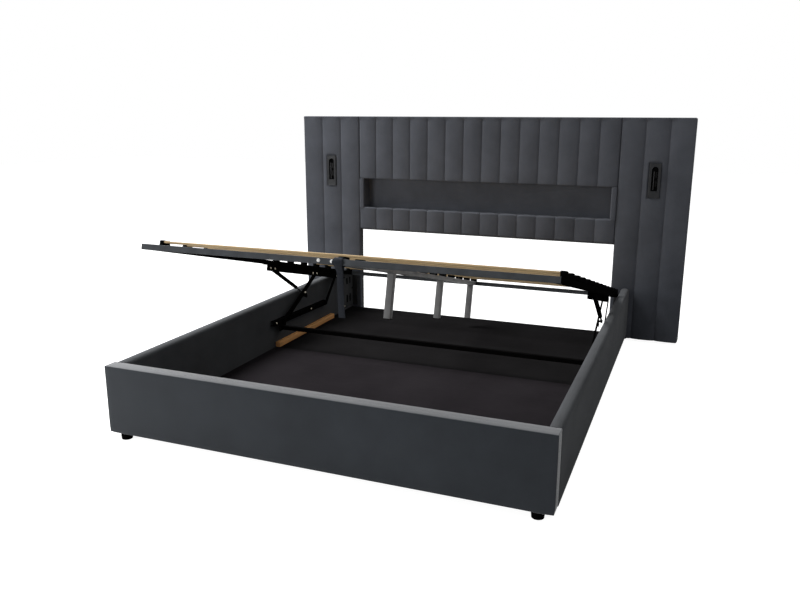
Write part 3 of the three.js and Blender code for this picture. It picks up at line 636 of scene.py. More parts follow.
def rounded_corner(points, edge, level, radius):
    """Points in the square at a corner, seen from the front, drawn in on to its circle where
    they lie outside it. The corner's X may be on either side; its Z is a lowest or highest."""
    side, rise = math.copysign(1, edge), (1 if level > BASE_TOP else -1)
    middle = abs(edge) - radius
    away_x = points[:, 0] * side - middle
    away_z = (points[:, 2] - level) * rise + radius
    length = np.hypot(away_x, away_z)
    inside = (away_x > 0) & (away_z > 0)
    pull = np.where(inside & (length > radius), radius / np.maximum(length, 1e-9), 1.0)
    out = points.copy()
    out[:, 0] = np.where(inside, side * (middle + away_x * pull), points[:, 0])
    out[:, 2] = np.where(inside, level + rise * (away_z * pull - radius), points[:, 2])
    return out


def gathered(points, end, fade, depth):
    """Small folds where the cloth is tucked in at a rail's head end. Above its middle the
    surface falls by the depth times the square of a sine along the height and across the top,
    and this fades out over a length."""
    start, rise = 190, 90
    near = np.clip((points[:, 1] - (end - fade)) / fade, 0, 1) ** 2
    high = np.clip((points[:, 2] - start) / rise, 0, 1)
    fold = np.sin(points[:, 0] / 5.2 + points[:, 2] / 11.0) ** 2
    out = points.copy()
    out[:, 1] -= depth * 2 * near * high * fold
    out[:, 2] -= depth * near * high * fold
    return out


def base_covers():
    """The footboard and both rails in their cloth: soft blocks, fuller on their outer faces."""
    points, faces = soft_block(
        (-BED_HALF, 0, BASE_BOTTOM), (BED_HALF, FOOTBOARD_THICK, BASE_TOP),
        (3, 3, 2.5), (3, 4, 3.5), puff_lo=(0.8, 1.2, 0), puff_hi=(0.8, 0, 0.6),
    )
    for edge in (-BED_HALF, BED_HALF):
        points = rounded_corner(points, edge, BASE_BOTTOM, FOOT_CORNER)
    piece = Shape().add((points, faces)).make(
        "footboard_upholstery", "base", BASE_CLOTH, "base_fabric", "footboard_cover")
    start, end = FOOTBOARD_THICK + GAP, HEADBOARD_FRONT - GAP
    points, faces = soft_block(
        (RAIL_INNER, start, BASE_BOTTOM), (BED_HALF, end, BASE_TOP),
        (19, 2, 4), (19, 5, 20), step=16, puff_hi=(1.2, 0, 0),
    )
    cover = gathered(points, HEADBOARD_FRONT, fade=40, depth=0.9), faces
    covers = pairs(
        (None, [cover], "rail_upholstery_{}", "base", RAIL_CLOTH_PAINTED_LIGHT, "base_fabric", "rail_cover_{}"))


def rail_planks():
    """The boards inside the rails, their long edges planed to a wide round under the wadding."""
    middle = ((RAIL_INNER + BED_HALF) / 2, (BASE_BOTTOM + BASE_TOP) / 2)
    size = (BED_HALF - RAIL_INNER - 2 * WADDING, BASE_TOP - BASE_BOTTOM - 2 * WADDING)
    span = (FOOTBOARD_THICK + GAP + WADDING, HEADBOARD_FRONT - GAP - WADDING)
    plank = solid_bar(1, span, middle, size, radius=16, edge=1.5)
    pairs((None, [plank], "rail_plank_{}", "base", FRAME_WOOD, None, "rail_board_{}"))


def corner_stitches():
    """A line of stitching down each front corner: short threads that stand in the cloth."""
    pitch, length = 5.0, 3.4
    place = (BED_HALF + 0.5, FOOTBOARD_THICK - 7)
    threads = [solid_bar(2, (z, z + length), place, THREAD_SIZE, 0.35, 0.3)
               for z in np.arange(BASE_BOTTOM + 22, BASE_TOP - 10, pitch)]
    pairs((None, threads, "corner_stitches_{}", "base", THREAD))


def corner_plates():
    """Steel angles that hold each rail to the footboard, with their bolts, inside the box."""
    x, y = RAIL_INNER - GAP, FOOTBOARD_THICK + GAP
    leaf, thick, span = 34, 2.6, (66, 246)
    middle, face = thick / 2 + 0.2, thick + 0.2
    heights = (96, 156, 216)
    leaves = [solid_bar(2, span, (x - middle, y + leaf / 2), (thick, leaf), 0.8),
              solid_bar(2, span, (x - leaf / 2, y + middle), (leaf, thick), 0.8)]
    screws = [turned_piece(BOLT, (x - 20, y + face, z), (0, 1, 0), 20) for z in heights]
    pairs(
        (None, leaves, "corner_angle_{}", "base", ZINC),
        heads("corner_bolts_{}", "base", None, [(x - face, y + 20, z) for z in heights]),
        (None, screws, "corner_screws_{}", "base", ZINC),
    )


def feet():
    """Low turned feet that taper a little towards the floor, with a groove round them."""
    profile = [(CORE, 0), (19.4, 0), (20.6, 1.1), (21.4, 11), (22, 12), (22, 14.6), (21.5, 15.2),
               (21.5, 16.4), (22, 17), (22, BASE_BOTTOM - 0.8), (21.4, BASE_BOTTOM), (CORE, BASE_BOTTOM)]
    foot = turned_piece(profile, (*FOOT_MIDDLE, 0), (0, 0, 1), 40)
    pairs((None, [foot], "foot_{}", "base", BLACK_PLASTIC, "black_plastic", "bed_foot_{}"))


# Headboard

# Where the rows of points lie across a channel, from one seam to the next
SEAM_SHARES = np.array([0, 0.012, 0.03, 0.06, 0.1, 0.16, 0.24, 0.33, 0.42,
                        0.5, 0.58, 0.67, 0.76, 0.84, 0.9, 0.94, 0.97, 0.988])
SEAM_DROP = 9
ROW_STEP = 16
DEEPEST_SHARE = 0.92

# The pocket of a power module, and the dip of the pad round it
POCKET_HALF_WIDTH = 25.3
POCKET_HALF_HEIGHT = 80.3
DIP_MARGIN = (4, 10)
DIP_REACH = 13
DIP_DEPTH = 8


def roll(inset, radius):
    """How far a padded edge turns back: a quarter circle of its radius, none beyond it."""
    left = np.clip(radius - inset, 0, radius)
    return radius - np.sqrt(np.maximum(radius * radius - left * left, 0))


def backed(front, middle):
    """A gridded front closed behind: its rim goes straight back to the depth of a middle point,
    and a fan from there closes it."""
    n, m = front.shape[:2]
    ids = np.arange(n * m).reshape(n, m)
    rim = np.concatenate([ids[:, 0], ids[-1, 1:], ids[-2::-1, -1], ids[0, -2:0:-1]])
    points = front.reshape(-1, 3)
    rear = points[rim].copy()
    rear[:, 1] = middle[1]
    ring = np.arange(len(rim))
    after = np.roll(ring, -1)
    first = n * m
    faces = grid_faces(n, m).tolist()
    faces += np.stack([rim[after], rim, first + ring, first + after], -1).tolist()
    faces += np.stack([first + after, first + ring, np.full(len(rim), first + len(rim))], -1).tolist()
    return np.concatenate([points, rear, [middle]]), faces


def channel_pad(x, z, channels, rolls, band, scallop=0, full_ends=(1.0, 1.0), pocket=None):
    """A channelled pad. Across each channel, s running from -1 to 1, the cloth lies back by
    0.72 s^2 + 0.28 |s|^12 of the seam's depth, more softly in the band at the top. Rolled edges
    add a quarter circle, and small puckers cross the seams. A scalloped pad's top edge rises on
    each channel and dips at each seam. The seam's depth at the pad's two ends is a share of
    the others'. A pocket is a rectangle cut back for a power module, with a dip round it."""
    (x0, x1), (z0, z1) = x, z
    pitch = (x1 - x0) / channels
    left, right, bottom, top = rolls
    columns = (x0 + pitch * (np.arange(channels)[:, None] + SEAM_SHARES[None, :])).ravel()
    arcs = 1 - np.cos(np.linspace(0, math.pi / 2, 7))
    columns = np.concatenate([columns, [x1], x0 + left * arcs, x1 - right * arcs])
    rows = np.concatenate([np.linspace(z0, z1, max(6, int((z1 - z0) / ROW_STEP))), z0 + bottom * arcs,
                           z1 - top * arcs, z1 - band * np.linspace(0, 1.4, 8)])
    if pocket:
        near = np.array([-DIP_REACH, -9, -6, -4, -2, 0, 3.6, 4.0])
        edge = np.array([POCKET_HALF_HEIGHT, POCKET_HALF_HEIGHT + 0.4])
        for way in (-1, 1):
            columns = np.append(columns, pocket[0] + way * (POCKET_HALF_WIDTH + DIP_MARGIN[0] - near))
            rows = np.append(rows, pocket[1] + way * (POCKET_HALF_HEIGHT + DIP_MARGIN[1] - near))
            rows = np.append(rows, pocket[1] + way * edge)
    columns = np.unique(np.round(columns, 2))
    rows = np.unique(np.round(rows, 2))
    px, pz = np.meshgrid(columns, rows, indexing="ij")
    share = ((px - x0) / pitch) % 1
    s = np.where((px <= x0) | (px >= x1), 1, np.abs(2 * share - 1))
    seam = 0.72 * s**2 + 0.28 * s**12
    seam = np.where(px < x0 + pitch / 2, seam * full_ends[0], seam)
    seam = np.where(px > x1 - pitch / 2, seam * full_ends[1], seam)
    in_band = np.clip((pz - (z1 - band)) / band, 0, 1)
    fade = 1.0 if scallop else 1 - in_band * in_band * (3 - 2 * in_band)
    pucker = 0.3 * s**6 * np.sin(pz / 6.5 + 1.7 * np.floor((px - x0) / pitch)) * np.sin(pz / 2.9)
    side = roll(px - x0, left) + roll(x1 - px, right)
    edge = roll(pz - z0, bottom) + roll(z1 - pz, top)
    depth = (seam * SEAM_DROP + pucker) * fade + np.hypot(side, edge)
    depth = np.minimum(depth, PAD_THICK * DEEPEST_SHARE)
    if pocket:
        off_x = np.abs(px - pocket[0]) - POCKET_HALF_WIDTH
        off_z = np.abs(pz - pocket[1]) - POCKET_HALF_HEIGHT
        out = np.hypot(np.maximum(off_x - DIP_MARGIN[0], 0), np.maximum(off_z - DIP_MARGIN[1], 0))
        depth = np.maximum(depth, DIP_DEPTH * np.clip(1 - out / DIP_REACH, 0, 1) ** 1.5)
        depth = np.where((off_x < 0.2) & (off_z < 0.2), PAD_THICK - 0.6, depth)
    pz = pz + scallop * (1 - 1.15 * seam) * in_band
    front = np.stack([px, HEADBOARD_FRONT + depth, pz], -1)
    return backed(front, ((x0 + x1) / 2, HEADBOARD_FRONT + PAD_THICK, (z0 + z1) / 2))


def wrap_strip(path, thick, y0, y1):
    """Cloth wrapped over a board's edge: a thin strip whose outer side follows a path in X and
    Z, given with the direction that faces out at each point."""
    turn = 1.2
    rings = []
    for place, out in path:
        outer, out = np.array(place), np.array(out)
        inner = outer - out * thick
        corners = [(outer, y0), (outer, y1 - turn), (outer - out * turn, y1), (inner, y1), (inner, y0)]
        rings.append([[p[0], y, p[1]] for p, y in corners])
    return loft(rings)


def quarter(corner_x, corner_z, radius, start, end, steps):
    """Places round a corner, each with the direction that faces out: a circle inside the
    corner, which lies outward in X and up or down in Z."""
    rise = math.copysign(1, start + end)
    turned = []
    for angle in np.linspace(start, end, steps):
        out = (math.cos(angle), math.sin(angle))
        middle = (corner_x - radius, corner_z - rise * radius)
        turned.append(((middle[0] + radius * out[0], middle[1] + radius * out[1]), out))
    return turned


def wing_path():
    """Up the outer edge of a wing from the round foot corner and back along its top."""
    low = quarter(HEADBOARD_HALF, HEADBOARD_BOTTOM, WING_CORNER, -math.pi / 2, 0, 8)
    high = quarter(HEADBOARD_HALF, HEADBOARD_TOP, TOP_CORNER, 0, math.pi / 2, 5)
    return [*low, *high, ((CENTRE_HALF + GAP / 2, HEADBOARD_TOP), (0, 1))]


def headboard_pads():
    """The wings, the two pads of the middle and the cloth wrapped over their boards."""
    depth = (HEADBOARD_FRONT + PAD_THICK - 4, BOARD_BACK)
    points, faces = channel_pad(
        (CENTRE_HALF + GAP / 2, HEADBOARD_HALF), (HEADBOARD_BOTTOM, HEADBOARD_TOP), WING_CHANNELS,
        (6, 4, 3, 4), TOP_BAND, full_ends=(1.0, 0.25), pocket=(MODULE_MIDDLE, MODULE_HEIGHT),
    )
    points = rounded_corner(points, HEADBOARD_HALF, HEADBOARD_BOTTOM, WING_CORNER)
    points = rounded_corner(points, HEADBOARD_HALF, HEADBOARD_TOP, TOP_CORNER)
    wing = (points, faces), wrap_strip(wing_path(), WRAP_THICK, *depth)
    pieces = pairs(
        (None, wing, "wing_upholstery_{}", "base", HEADBOARD_CLOTH, "headboard_fabric", "wing_pad_{}"))
    span = (-CENTRE_HALF + GAP / 2, CENTRE_HALF - GAP / 2)
    top = [((x, HEADBOARD_TOP), (0, 1)) for x in np.linspace(*span, 3)]
    upper = (
        channel_pad(span, (NICHE_TOP, HEADBOARD_TOP), CENTRE_CHANNELS, (6, 6, 6, 4), TOP_BAND),
        wrap_strip(top, WRAP_THICK, *depth),
    )
    lower = (
        channel_pad(span, (GAP_TOP + SCALLOP, NICHE_BOTTOM), CENTRE_CHANNELS, (6, 6, 12, 7), TOP_BAND,
                    scallop=SCALLOP),
    )
    for name, solids in (("upper", upper), ("lower", lower)):
        pieces.append(Shape().add(*solids).make(
            f"centre_upholstery_{name}", "base", HEADBOARD_CLOTH, "headboard_fabric", f"centre_pad_{name}"))


def niche():
    """The cloth-lined box of the niche: its outline goes forward outside, turns over a rounded
    lip and goes back inside. A padded strip stands at each side of its mouth."""
    front = HEADBOARD_FRONT + PAD_THICK + GAP
    middle = (0, (NICHE_BOTTOM + NICHE_TOP) / 2)
    outer = (2 * CENTRE_HALF - GAP, NICHE_TOP - NICHE_BOTTOM + 2 * NICHE_WALL)
    inner = (2 * NICHE_HALF, NICHE_TOP - NICHE_BOTTOM)
    steps = [(outer, 2.5, HEADBOARD_REAR, 1.0), (outer, 2.5, HEADBOARD_REAR - 1, 0),
             (outer, 2.5, front + 1, 0), (outer, 2.5, front, 1.0),
             (inner, 2.0, front, -1.5), (inner, 2.0, front + 1.5, 0), (inner, 2.0, NICHE_BACK - 3, 0),
             (inner, 2.0, NICHE_BACK - 0.8, 0.8), (inner, 2.0, NICHE_BACK, 3)]
    rings = []
    for (width, height), radius, y, inset in steps:
        outline = drawn_in(width, height, radius, inset, least=0.3, steps=3)
        rings.append(section(outline + middle, y, 1))
    shape = Shape().add(loft(rings))
    strip = soft_block(
        (NICHE_HALF, HEADBOARD_FRONT, NICHE_BOTTOM + GAP),
        (CENTRE_HALF - GAP / 2, front + 1, NICHE_TOP - GAP),
        (7, 7, 0.5), (8, 0.5, 0.5), step=12,
    )
    for side in SIDES.values():
        shape.add(strip, side=side)
    piece = shape.make("niche_lining", "base", HEADBOARD_CLOTH, "headboard_fabric", "niche_box")


def round_slot(half, bottom, top):
    """An upright slot with a round top, as a closed line of places about the plate's middle."""
    n = 80
    floor = np.linspace(-half, half, n // 2)[1:-1]
    return np.concatenate([
        np.stack([np.full(n, half), np.linspace(bottom, top - half, n)], -1),
        arc((0, top - half), half, 0, 180, n)[1:-1],
        np.stack([np.full(n, -half), np.linspace(top - half, bottom, n)], -1),
        np.stack([floor, np.full(len(floor), bottom)], -1),
    ])


def at_angles(outline, angles):
    """An outline's points where rays from the middle at these angles meet it: each ray is
    crossed with every edge, and the nearest crossing inside an edge is kept."""
    ray_x, ray_z = np.cos(angles)[:, None], np.sin(angles)[:, None]
    x, z = outline[None, :, 0], outline[None, :, 1]
    way_x, way_z = np.roll(x, -1) - x, np.roll(z, -1) - z
    turn = ray_x * way_z - ray_z * way_x
    turn = np.where(np.abs(turn) < 1e-12, 1e-12, turn)
    length = (x * way_z - z * way_x) / turn
    share = (x * ray_z - z * ray_x) / turn
    met = (length > 0) & (share > -1e-6) & (share < 1 + 1e-6)
    length = np.where(met, length, 1e9).min(1)
    return np.stack([length * np.cos(angles), length * np.sin(angles)], -1)


def power_faceplates():
    """A moulded plate with an upright slot, round at its top. Its surface runs from the back
    over the outer edge and the front to the slot and back inside it, and every outline in it
    is met by the same rays from the plate's middle."""
    back, front = HEADBOARD_FRONT + 2, HEADBOARD_FRONT - 3
    width, height = MODULE_WIDTH, MODULE_TOP - MODULE_BOTTOM
    bottom, top = SLOT_BOTTOM - MODULE_HEIGHT, SLOT_TOP - MODULE_HEIGHT
    radius = 4
    corners = np.concatenate([
        rounded_outline(width, height, radius, 6), round_slot(SLOT_HALF, bottom, top)[::9]])
    angles = np.unique(np.round(np.arctan2(corners[:, 1], corners[:, 0]), 3))

    def outer(inset):
        outline = rounded_outline(width - 2 * inset, height - 2 * inset, radius - inset, 60)
        return at_angles(outline, angles)

    def slot(spread):
        return at_angles(round_slot(SLOT_HALF + spread, bottom - spread, top + spread), angles)

    steps = [(outer(0), back), (outer(0), front + 1), (outer(0.3), front + 0.3), (outer(1.0), front),
             (outer(5.0), front), (outer(5.6), front + 0.5), (slot(2.6), front + 0.5),
             (slot(2.0), front), (slot(0.8), front), (slot(0.2), front + 0.4),
             (slot(0), front + 1), (slot(0), back)]
    rings = [section(outline + (MODULE_MIDDLE, MODULE_HEIGHT), y, 1) for outline, y in steps]
    solids = [loft(rings, capped=False)]
    pairs((None, solids, "power_faceplate_{}", "base", PLATE_PLASTIC, "gloss_plastic", "power_bezel_{}", 30))


def power_sockets():
    """The socket strip in the slot: a grey rail left of the middle, two ports and a small
    lamp. It isn't mirrored, because both modules are the same."""
    wall = HEADBOARD_FRONT + 5.2
    port_heights, lamp_height, port_size, border = (914, 868), 940, (9.5, 30), (3, 9)
    lamp_profile = [(CORE, 0), (1.6, 0), (1.6, 1.2), (1.1, 1.7), (CORE, 1.7)]
    for name, side in SIDES.items():
        middle = side * MODULE_MIDDLE
        rail = solid_bar(2, (836, 932), (middle - 4.6, wall - 4.3), (3.6, 2.2), 0.8, 0.8)
        Shape().add(rail).make(f"socket_rail_{name}", "base", RAIL_PLASTIC)
        shape = Shape()
        x = middle + 6.5
        for z in port_heights:
            rim = rounded_outline(*port_size, 1.5) + (x, z)
            tongue = rounded_outline(port_size[0] - border[0], port_size[1] - border[1], 1.2) + (x, z)
            shape.add(loft([section(rim, y, 1) for y in (wall - 0.1, wall - 1.6)]))
            shape.add(loft([section(tongue, y, 1) for y in (wall - 1.7, wall - 2.3)]))
        shape.add(turned_piece(lamp_profile, (x, wall, lamp_height), (0, -1, 0), 16))
        shape.make(f"socket_ports_{name}", "base", GLOSS_PLASTIC)


# Lift mechanism

def platform_place(y, z):
    """A place on the tilted platform, in bed millimetres."""
    c, s = math.cos(TILT), math.sin(TILT)
    return PLATFORM_FRONT[0] + y * c + z * s, PLATFORM_FRONT[1] - y * s + z * c


def reach(start, end):
    """Length and angle of the line between two points."""
    return math.dist(start, end), math.atan2(end[1] - start[1], end[0] - start[0])


ON_PLATFORM = (-TILT, PLATFORM_FRONT)
FRONT_HINGE = platform_place(FRONT_HINGE_AT, -BRACKET_DROP)
REAR_HINGE = platform_place(REAR_HINGE_AT, -BRACKET_DROP)
STRUT_TOP = platform_place(STRUT_TOP_AT, -BRACKET_DROP)
FRONT_ARM_LENGTH, FRONT_ARM_ANGLE = reach(FRONT_PIVOT, FRONT_HINGE)
REAR_ARM_LENGTH, REAR_ARM_ANGLE = reach(REAR_PIVOT, REAR_HINGE)
BAR_LENGTH, BAR_ANGLE = reach(FRONT_PIVOT, REAR_PIVOT)
FOOT_PLACE = turned_points(np.array([[0, *STRUT_FOOT]], float), FRONT_ARM_ANGLE, FRONT_PIVOT)[0, 1:]
STRUT_LENGTH, STRUT_ANGLE = reach(STRUT_TOP, FOOT_PLACE)

# Profiles of heads as (radius, height above the face)
BOLT = [(CORE, 1.4), (2.2, 1.4), (2.6, 2.9), (4.2, 2.7), (5.6, 1.8), (6.0, 0.6), (6.0, 0), (CORE, 0)]
RIVET = [(CORE, 2.2), (2.6, 2.0), (4.8, 1.3), (6.2, 0.3), (6.2, 0), (CORE, 0)]


def heads(name, body, turn, places, profile=BOLT, look=ZINC):
    """A row of pairs: bolt or rivet heads that look to the middle of the bed."""
    solids = [turned_piece(profile, place, (-1, 0, 0), 20) for place in places]
    return turn, solids, name, body, look, "bright_steel"


def arms():
    """Flat arms with round ends. The front arm carries a lug for the foot of the strut."""
    y, z = STRUT_FOOT
    tip_round, foot_round, rear_round, lug_round = 14, 18, 12, 8
    lug_root, lug_tip = -13, z - 29
    front = np.concatenate([
        arc((FRONT_ARM_LENGTH, 0), tip_round, -90, 90), [(y + 20, tip_round)],
        arc((0, 0), foot_round, 90, 270), [(y - 30, -foot_round)],
        arc((y + 4, lug_tip), lug_round, 180, 360), [(y + 14, lug_root)],
    ])
    rear = np.concatenate([arc((REAR_ARM_LENGTH, 0), rear_round, -90, 90), arc((0, 0), rear_round, 90, 270)])
    stub_profile = [(CORE, 0), (5, 0), (5, 12.7), (CORE, 12.7)]
    guide_profile = [(CORE, 0), (8.3, 0), (8.3, 4), (4, 4), (4, 9.3), (CORE, 9.3)]
    large_rivet = [(radius * 1.25, height * 1.4) for radius, height in RIVET]
    stub = turned_piece(stub_profile, (ARM_INNER, y, z), (1, 0, 0), 20)
    guide = turned_piece(guide_profile, (GUIDE_PIN_FACE, REAR_ARM_LENGTH, 0), (1, 0, 0))
    front, rear = [plate(outline, ARM_INNER, ARM_INNER + ARM_THICK) for outline in (front, rear)]
    front_turn, rear_turn = (FRONT_ARM_ANGLE, FRONT_PIVOT), (REAR_ARM_ANGLE, REAR_PIVOT)
    pairs(
        (front_turn, [front, stub], "lift_arm_{}", "{}_front_arm", BLACK_COAT, "black_steel", "front_arm_{}"),
        heads("lift_arm_rivet_{}", "{}_front_arm", front_turn, [(ARM_INNER, y, z)], large_rivet),
        (rear_turn, [rear, guide], "guide_arm_{}", "{}_rear_arm", BLACK_COAT, "black_steel", "rear_arm_{}"),
    )


def struts():
    """Gas struts: a cylinder with rolled shoulders and a seal collar, and a polished rod."""
    seal, mouth, rod_radius = 288, 270, 4
    rod_neck, rod_end = STRUT_LENGTH - 22, STRUT_LENGTH - 7
    bore = rod_radius + 0.3
    cylinder = [(CORE, 6), (5, 6), (5, 12), (8.6, 13), (9.8, 15), (10, 18), (10, seal - 7), (9.2, seal - 4),
                (9.6, seal - 2.5), (8.4, seal), (bore, seal), (bore, mouth), (CORE, mouth)]
    rod = [(CORE, mouth - 2), (rod_radius, mouth - 2), (rod_radius, rod_neck), (5.4, rod_neck + 1),
           (5.4, rod_end), (CORE, rod_end)]
    eye = arc((0, 0), 8, 0, 340, 24)
    eye_span = (STRUT_MIDDLE - 4, STRUT_MIDDLE + 4)
    axis = (STRUT_MIDDLE, 0, 0), (0, 1, 0)
    turn = (STRUT_ANGLE, STRUT_TOP)
    pairs(
        (turn, [turned_piece(cylinder, *axis, 32), plate(eye, *eye_span)], "strut_body_{}",
         "{}_strut_cylinder", BLACK_COAT, "black_steel", "strut_cylinder_{}"),
        (turn, [turned_piece(rod, *axis, 28), plate(eye + (STRUT_LENGTH, 0), *eye_span)], "strut_piston_{}",
         "{}_strut_rod", POLISHED, "bright_steel", "strut_rod_{}"),
    )


def fasteners():
    """Bolts of the base bars, brackets and hook plates, and the rivets at the pivots."""
    bar = (BAR_ANGLE, FRONT_PIVOT)
    bracket_bolts = [(WEB_INNER, y, -17) for y in (918, STRUT_TOP_AT, 1370, FRONT_HINGE_AT, 1690)]
    guide_pin = (GUIDE_PIN_FACE, REAR_ARM_LENGTH, 0)
    hook_bolts = [(HOOK_PLATE_FACE, 1984, 247), (HOOK_PLATE_FACE, 2096, 160)]
    pivots = [(BASE_BAR_FACE - 12, y, 0) for y in (0, BAR_LENGTH)]
    pairs(
        heads("bar_bolts_{}", "base", bar, [(BASE_BAR_FACE, y, -3) for y in (-72, 302)]),
        heads("pivot_rivets_{}", "base", bar, pivots, RIVET, BLACK_COAT),
        heads("bracket_bolts_{}", "platform", ON_PLATFORM, bracket_bolts),
        heads("guide_pin_{}", "{}_rear_arm", (REAR_ARM_ANGLE, REAR_PIVOT), [guide_pin], RIVET),
        heads("hook_bolts_{}", "base", None, hook_bolts, RIVET, BLACK_COAT),
        heads("hook_foot_bolt_{}", "base", None, [(HOOK_PLATE_FACE, 1984, 66)]),
    )


# Platform

def end_cap(along, end, middle, spare, depth):
    """A plastic plug in a tube's end, and the cap that covers the tube's rim. The cap is wider
    than the tube by the spare."""
    size = np.array([TUBE_WIDTH, TUBE_HEIGHT])
    plug = solid_bar(along, (end - 9, end + 0.2), middle, size - 3.4, 1.6)
    cap = solid_bar(along, (end, end + depth), middle, size + spare, 3, 1.0)
    return plug, cap


def platform_frame():
    """Painted tubes with rounded corners and their black plastic ends."""
    tube = (TUBE_WIDTH, TUBE_HEIGHT)
    inner = PLATFORM_HALF - TUBE_WIDTH
    x, z = PLATFORM_HALF - TUBE_WIDTH / 2, TUBE_HEIGHT / 2
    front_y, head_y = TUBE_WIDTH / 2, PLATFORM_LENGTH - TUBE_WIDTH / 2
    for name, half, y in (("front", PLATFORM_HALF, front_y), ("head", inner - GAP, head_y)):
        solid = hollow_bar(0, (-half, half), (y, z), tube, 1.7, TUBE_WALL)
        shape = Shape(ON_PLATFORM).add(solid)
        shape.make(f"{name}_bar", "platform", GREY_COAT, "grey_steel", f"{name}_tube")
    shape = Shape(ON_PLATFORM)
    for side in SIDES.values():
        shape.add(*end_cap(0, PLATFORM_HALF, (front_y, z), 0.4, 3), side=side)
    shape.make("front_bar_caps", "platform", BLACK_PLASTIC)
    bar = hollow_bar(1, (TUBE_WIDTH + GAP, PLATFORM_LENGTH), (x, z), tube, TUBE_ROUND, TUBE_WALL)
    cap = end_cap(1, PLATFORM_LENGTH, (x, z), -0.4, 2.5)
    pairs(
        (ON_PLATFORM, [bar], "side_bar_{}", "platform", BLACK_COAT, "black_steel", "side_tube_{}"),
        (ON_PLATFORM, cap, "side_bar_cap_{}", "platform", BLACK_PLASTIC),
    )


def slat_holders():
    """Moulded sleeves, one at each end of every slat: an outer outline from the closed end to
    the mouth, then the inner one back into the pocket. Two ribs run along the top of each."""
    height = HOLDER_TOP - TUBE_HEIGHT
    middle_z = (TUBE_HEIGHT + HOLDER_TOP) / 2
    outside = ((PLATFORM_HALF - 0.1, 2.6), (PLATFORM_HALF - 1.0, 0.9), (PLATFORM_HALF - 2.6, 0.0),
               (HOLDER_MOUTH + 1.4, 0.0), (HOLDER_MOUTH + 0.4, 0.5), (HOLDER_MOUTH, 1.2))
    rib_span, rib_place = (HOLDER_MOUTH + 2, PLATFORM_HALF - 2.5), 13
    solids = []
    for y in SLAT_PLACES:
        rings = []
        for x, inset in outside:
            outline = drawn_in(HOLDER_WIDTH, height, 5, inset, least=0.5)
            rings.append(section(outline + (y, middle_z), x, 0))
        pocket = rounded_outline(SLAT_WIDTH + 0.7, SLAT_THICK + 0.7, 1.4) + (y, SLAT_MIDDLE)
        rings += [section(pocket, x, 0) for x in (HOLDER_MOUTH, SLAT_END + GAP)]
        solids.append(loft(rings))
        for rib_y in (y - rib_place, y + rib_place):
            solids.append(solid_bar(0, rib_span, (rib_y, HOLDER_TOP - 0.2), (2.4, 1.4), 0.6))
    pairs((ON_PLATFORM, solids, "slat_holders_{}", "platform",
           BLACK_PLASTIC, "black_plastic", "side_tube_{}"))


def slats():
    """Laminated slats with rounded edges. Between their holders they bow up by the bow's
    height times 1 - t^2, t running from -1 to 1 along the slat."""
    bow, radius = 1.5, 2.2
    ends = end_steps(-SLAT_END, SLAT_END, 1.0)
    half = len(ends) // 2
    between = [(x, 0.0) for x in np.linspace(-SLAT_END + 30, SLAT_END - 30, 23)]
    for count, y in enumerate(SLAT_PLACES, 1):
        rings = []
        for x, inset in ends[:half] + between + ends[half:]:
            outline = drawn_in(SLAT_WIDTH, SLAT_THICK, radius, inset, least=0.3, steps=3)
            lift = bow * (1 - (x / SLAT_END) ** 2)
            rings.append(section(outline + (y, SLAT_MIDDLE + lift), x, 0))
        shape = Shape(ON_PLATFORM).add(loft(rings))
        shape.make(f"laminated_slat_{count:02d}", "platform", SLAT_WOOD, "slat_wood", f"slat_{count:02d}")


def centre_beam():
    """The middle tube, its welded legs with plastic feet, and the rubber rests on it."""
    z = TUBE_HEIGHT / 2
    span = (TUBE_WIDTH + GAP, PLATFORM_LENGTH - TUBE_WIDTH - GAP)
    leg, foot_height, rest_half = (LEG_SIZE, LEG_SIZE), 3, 15
    beam = hollow_bar(1, span, (0, z), (TUBE_WIDTH, TUBE_HEIGHT), TUBE_ROUND, TUBE_WALL)
    shape = Shape(ON_PLATFORM).add(beam)
    for y in LEG_PLACES:
        shape.add(hollow_bar(2, (LEG_BOTTOM + foot_height, 1), (0, y), leg, 2.8, TUBE_WALL))
        shape.add(weld_bead(y))
    shape.make("middle_bar", "platform", LEG_COAT, "grey_steel", "centre_beam")
    shape = Shape(ON_PLATFORM)
    for y in LEG_PLACES:
        shape.add(solid_bar(2, (LEG_BOTTOM, LEG_BOTTOM + foot_height), (0, y), leg, 3, 1.2))
    shape.make("leg_feet", "platform", BLACK_PLASTIC, "black_plastic", "centre_beam")
    shape = Shape(ON_PLATFORM)
    height = SLAT_BOTTOM - TUBE_HEIGHT
    for y in SLAT_PLACES:
        place = (y, TUBE_HEIGHT + height / 2 + 0.7)
        shape.add(solid_bar(0, (-rest_half, rest_half), place, (REST_WIDTH, height + 0.6), 3, 1.5))
    shape.make("slat_rests", "platform", BLACK_PLASTIC, "black_plastic", "centre_beam")


def weld_bead(y):
    """A bead of weld round the top of a leg: a thin ring whose radius ripples along it."""
    thick, ripple_height, sink = 1.5, 0.35, 0.6
    path = rounded_outline(LEG_SIZE + 1, LEG_SIZE + 1, 3.2, 10)
    away = path / np.linalg.norm(path, axis=1, keepdims=True)
    ripple = thick + ripple_height * np.sin(np.arange(len(path)) * 2.4)
    ring = np.radians(np.arange(0, 360, 60))
    out = ripple[:, None] * np.cos(ring)[None, :]
    up = ripple[:, None] * np.sin(ring)[None, :]
    flat = (path + (0, y))[:, None, :] + away[:, None, :] * out[:, :, None]
    return loft(np.concatenate([flat, up[:, :, None] - sink], -1), capped=False)


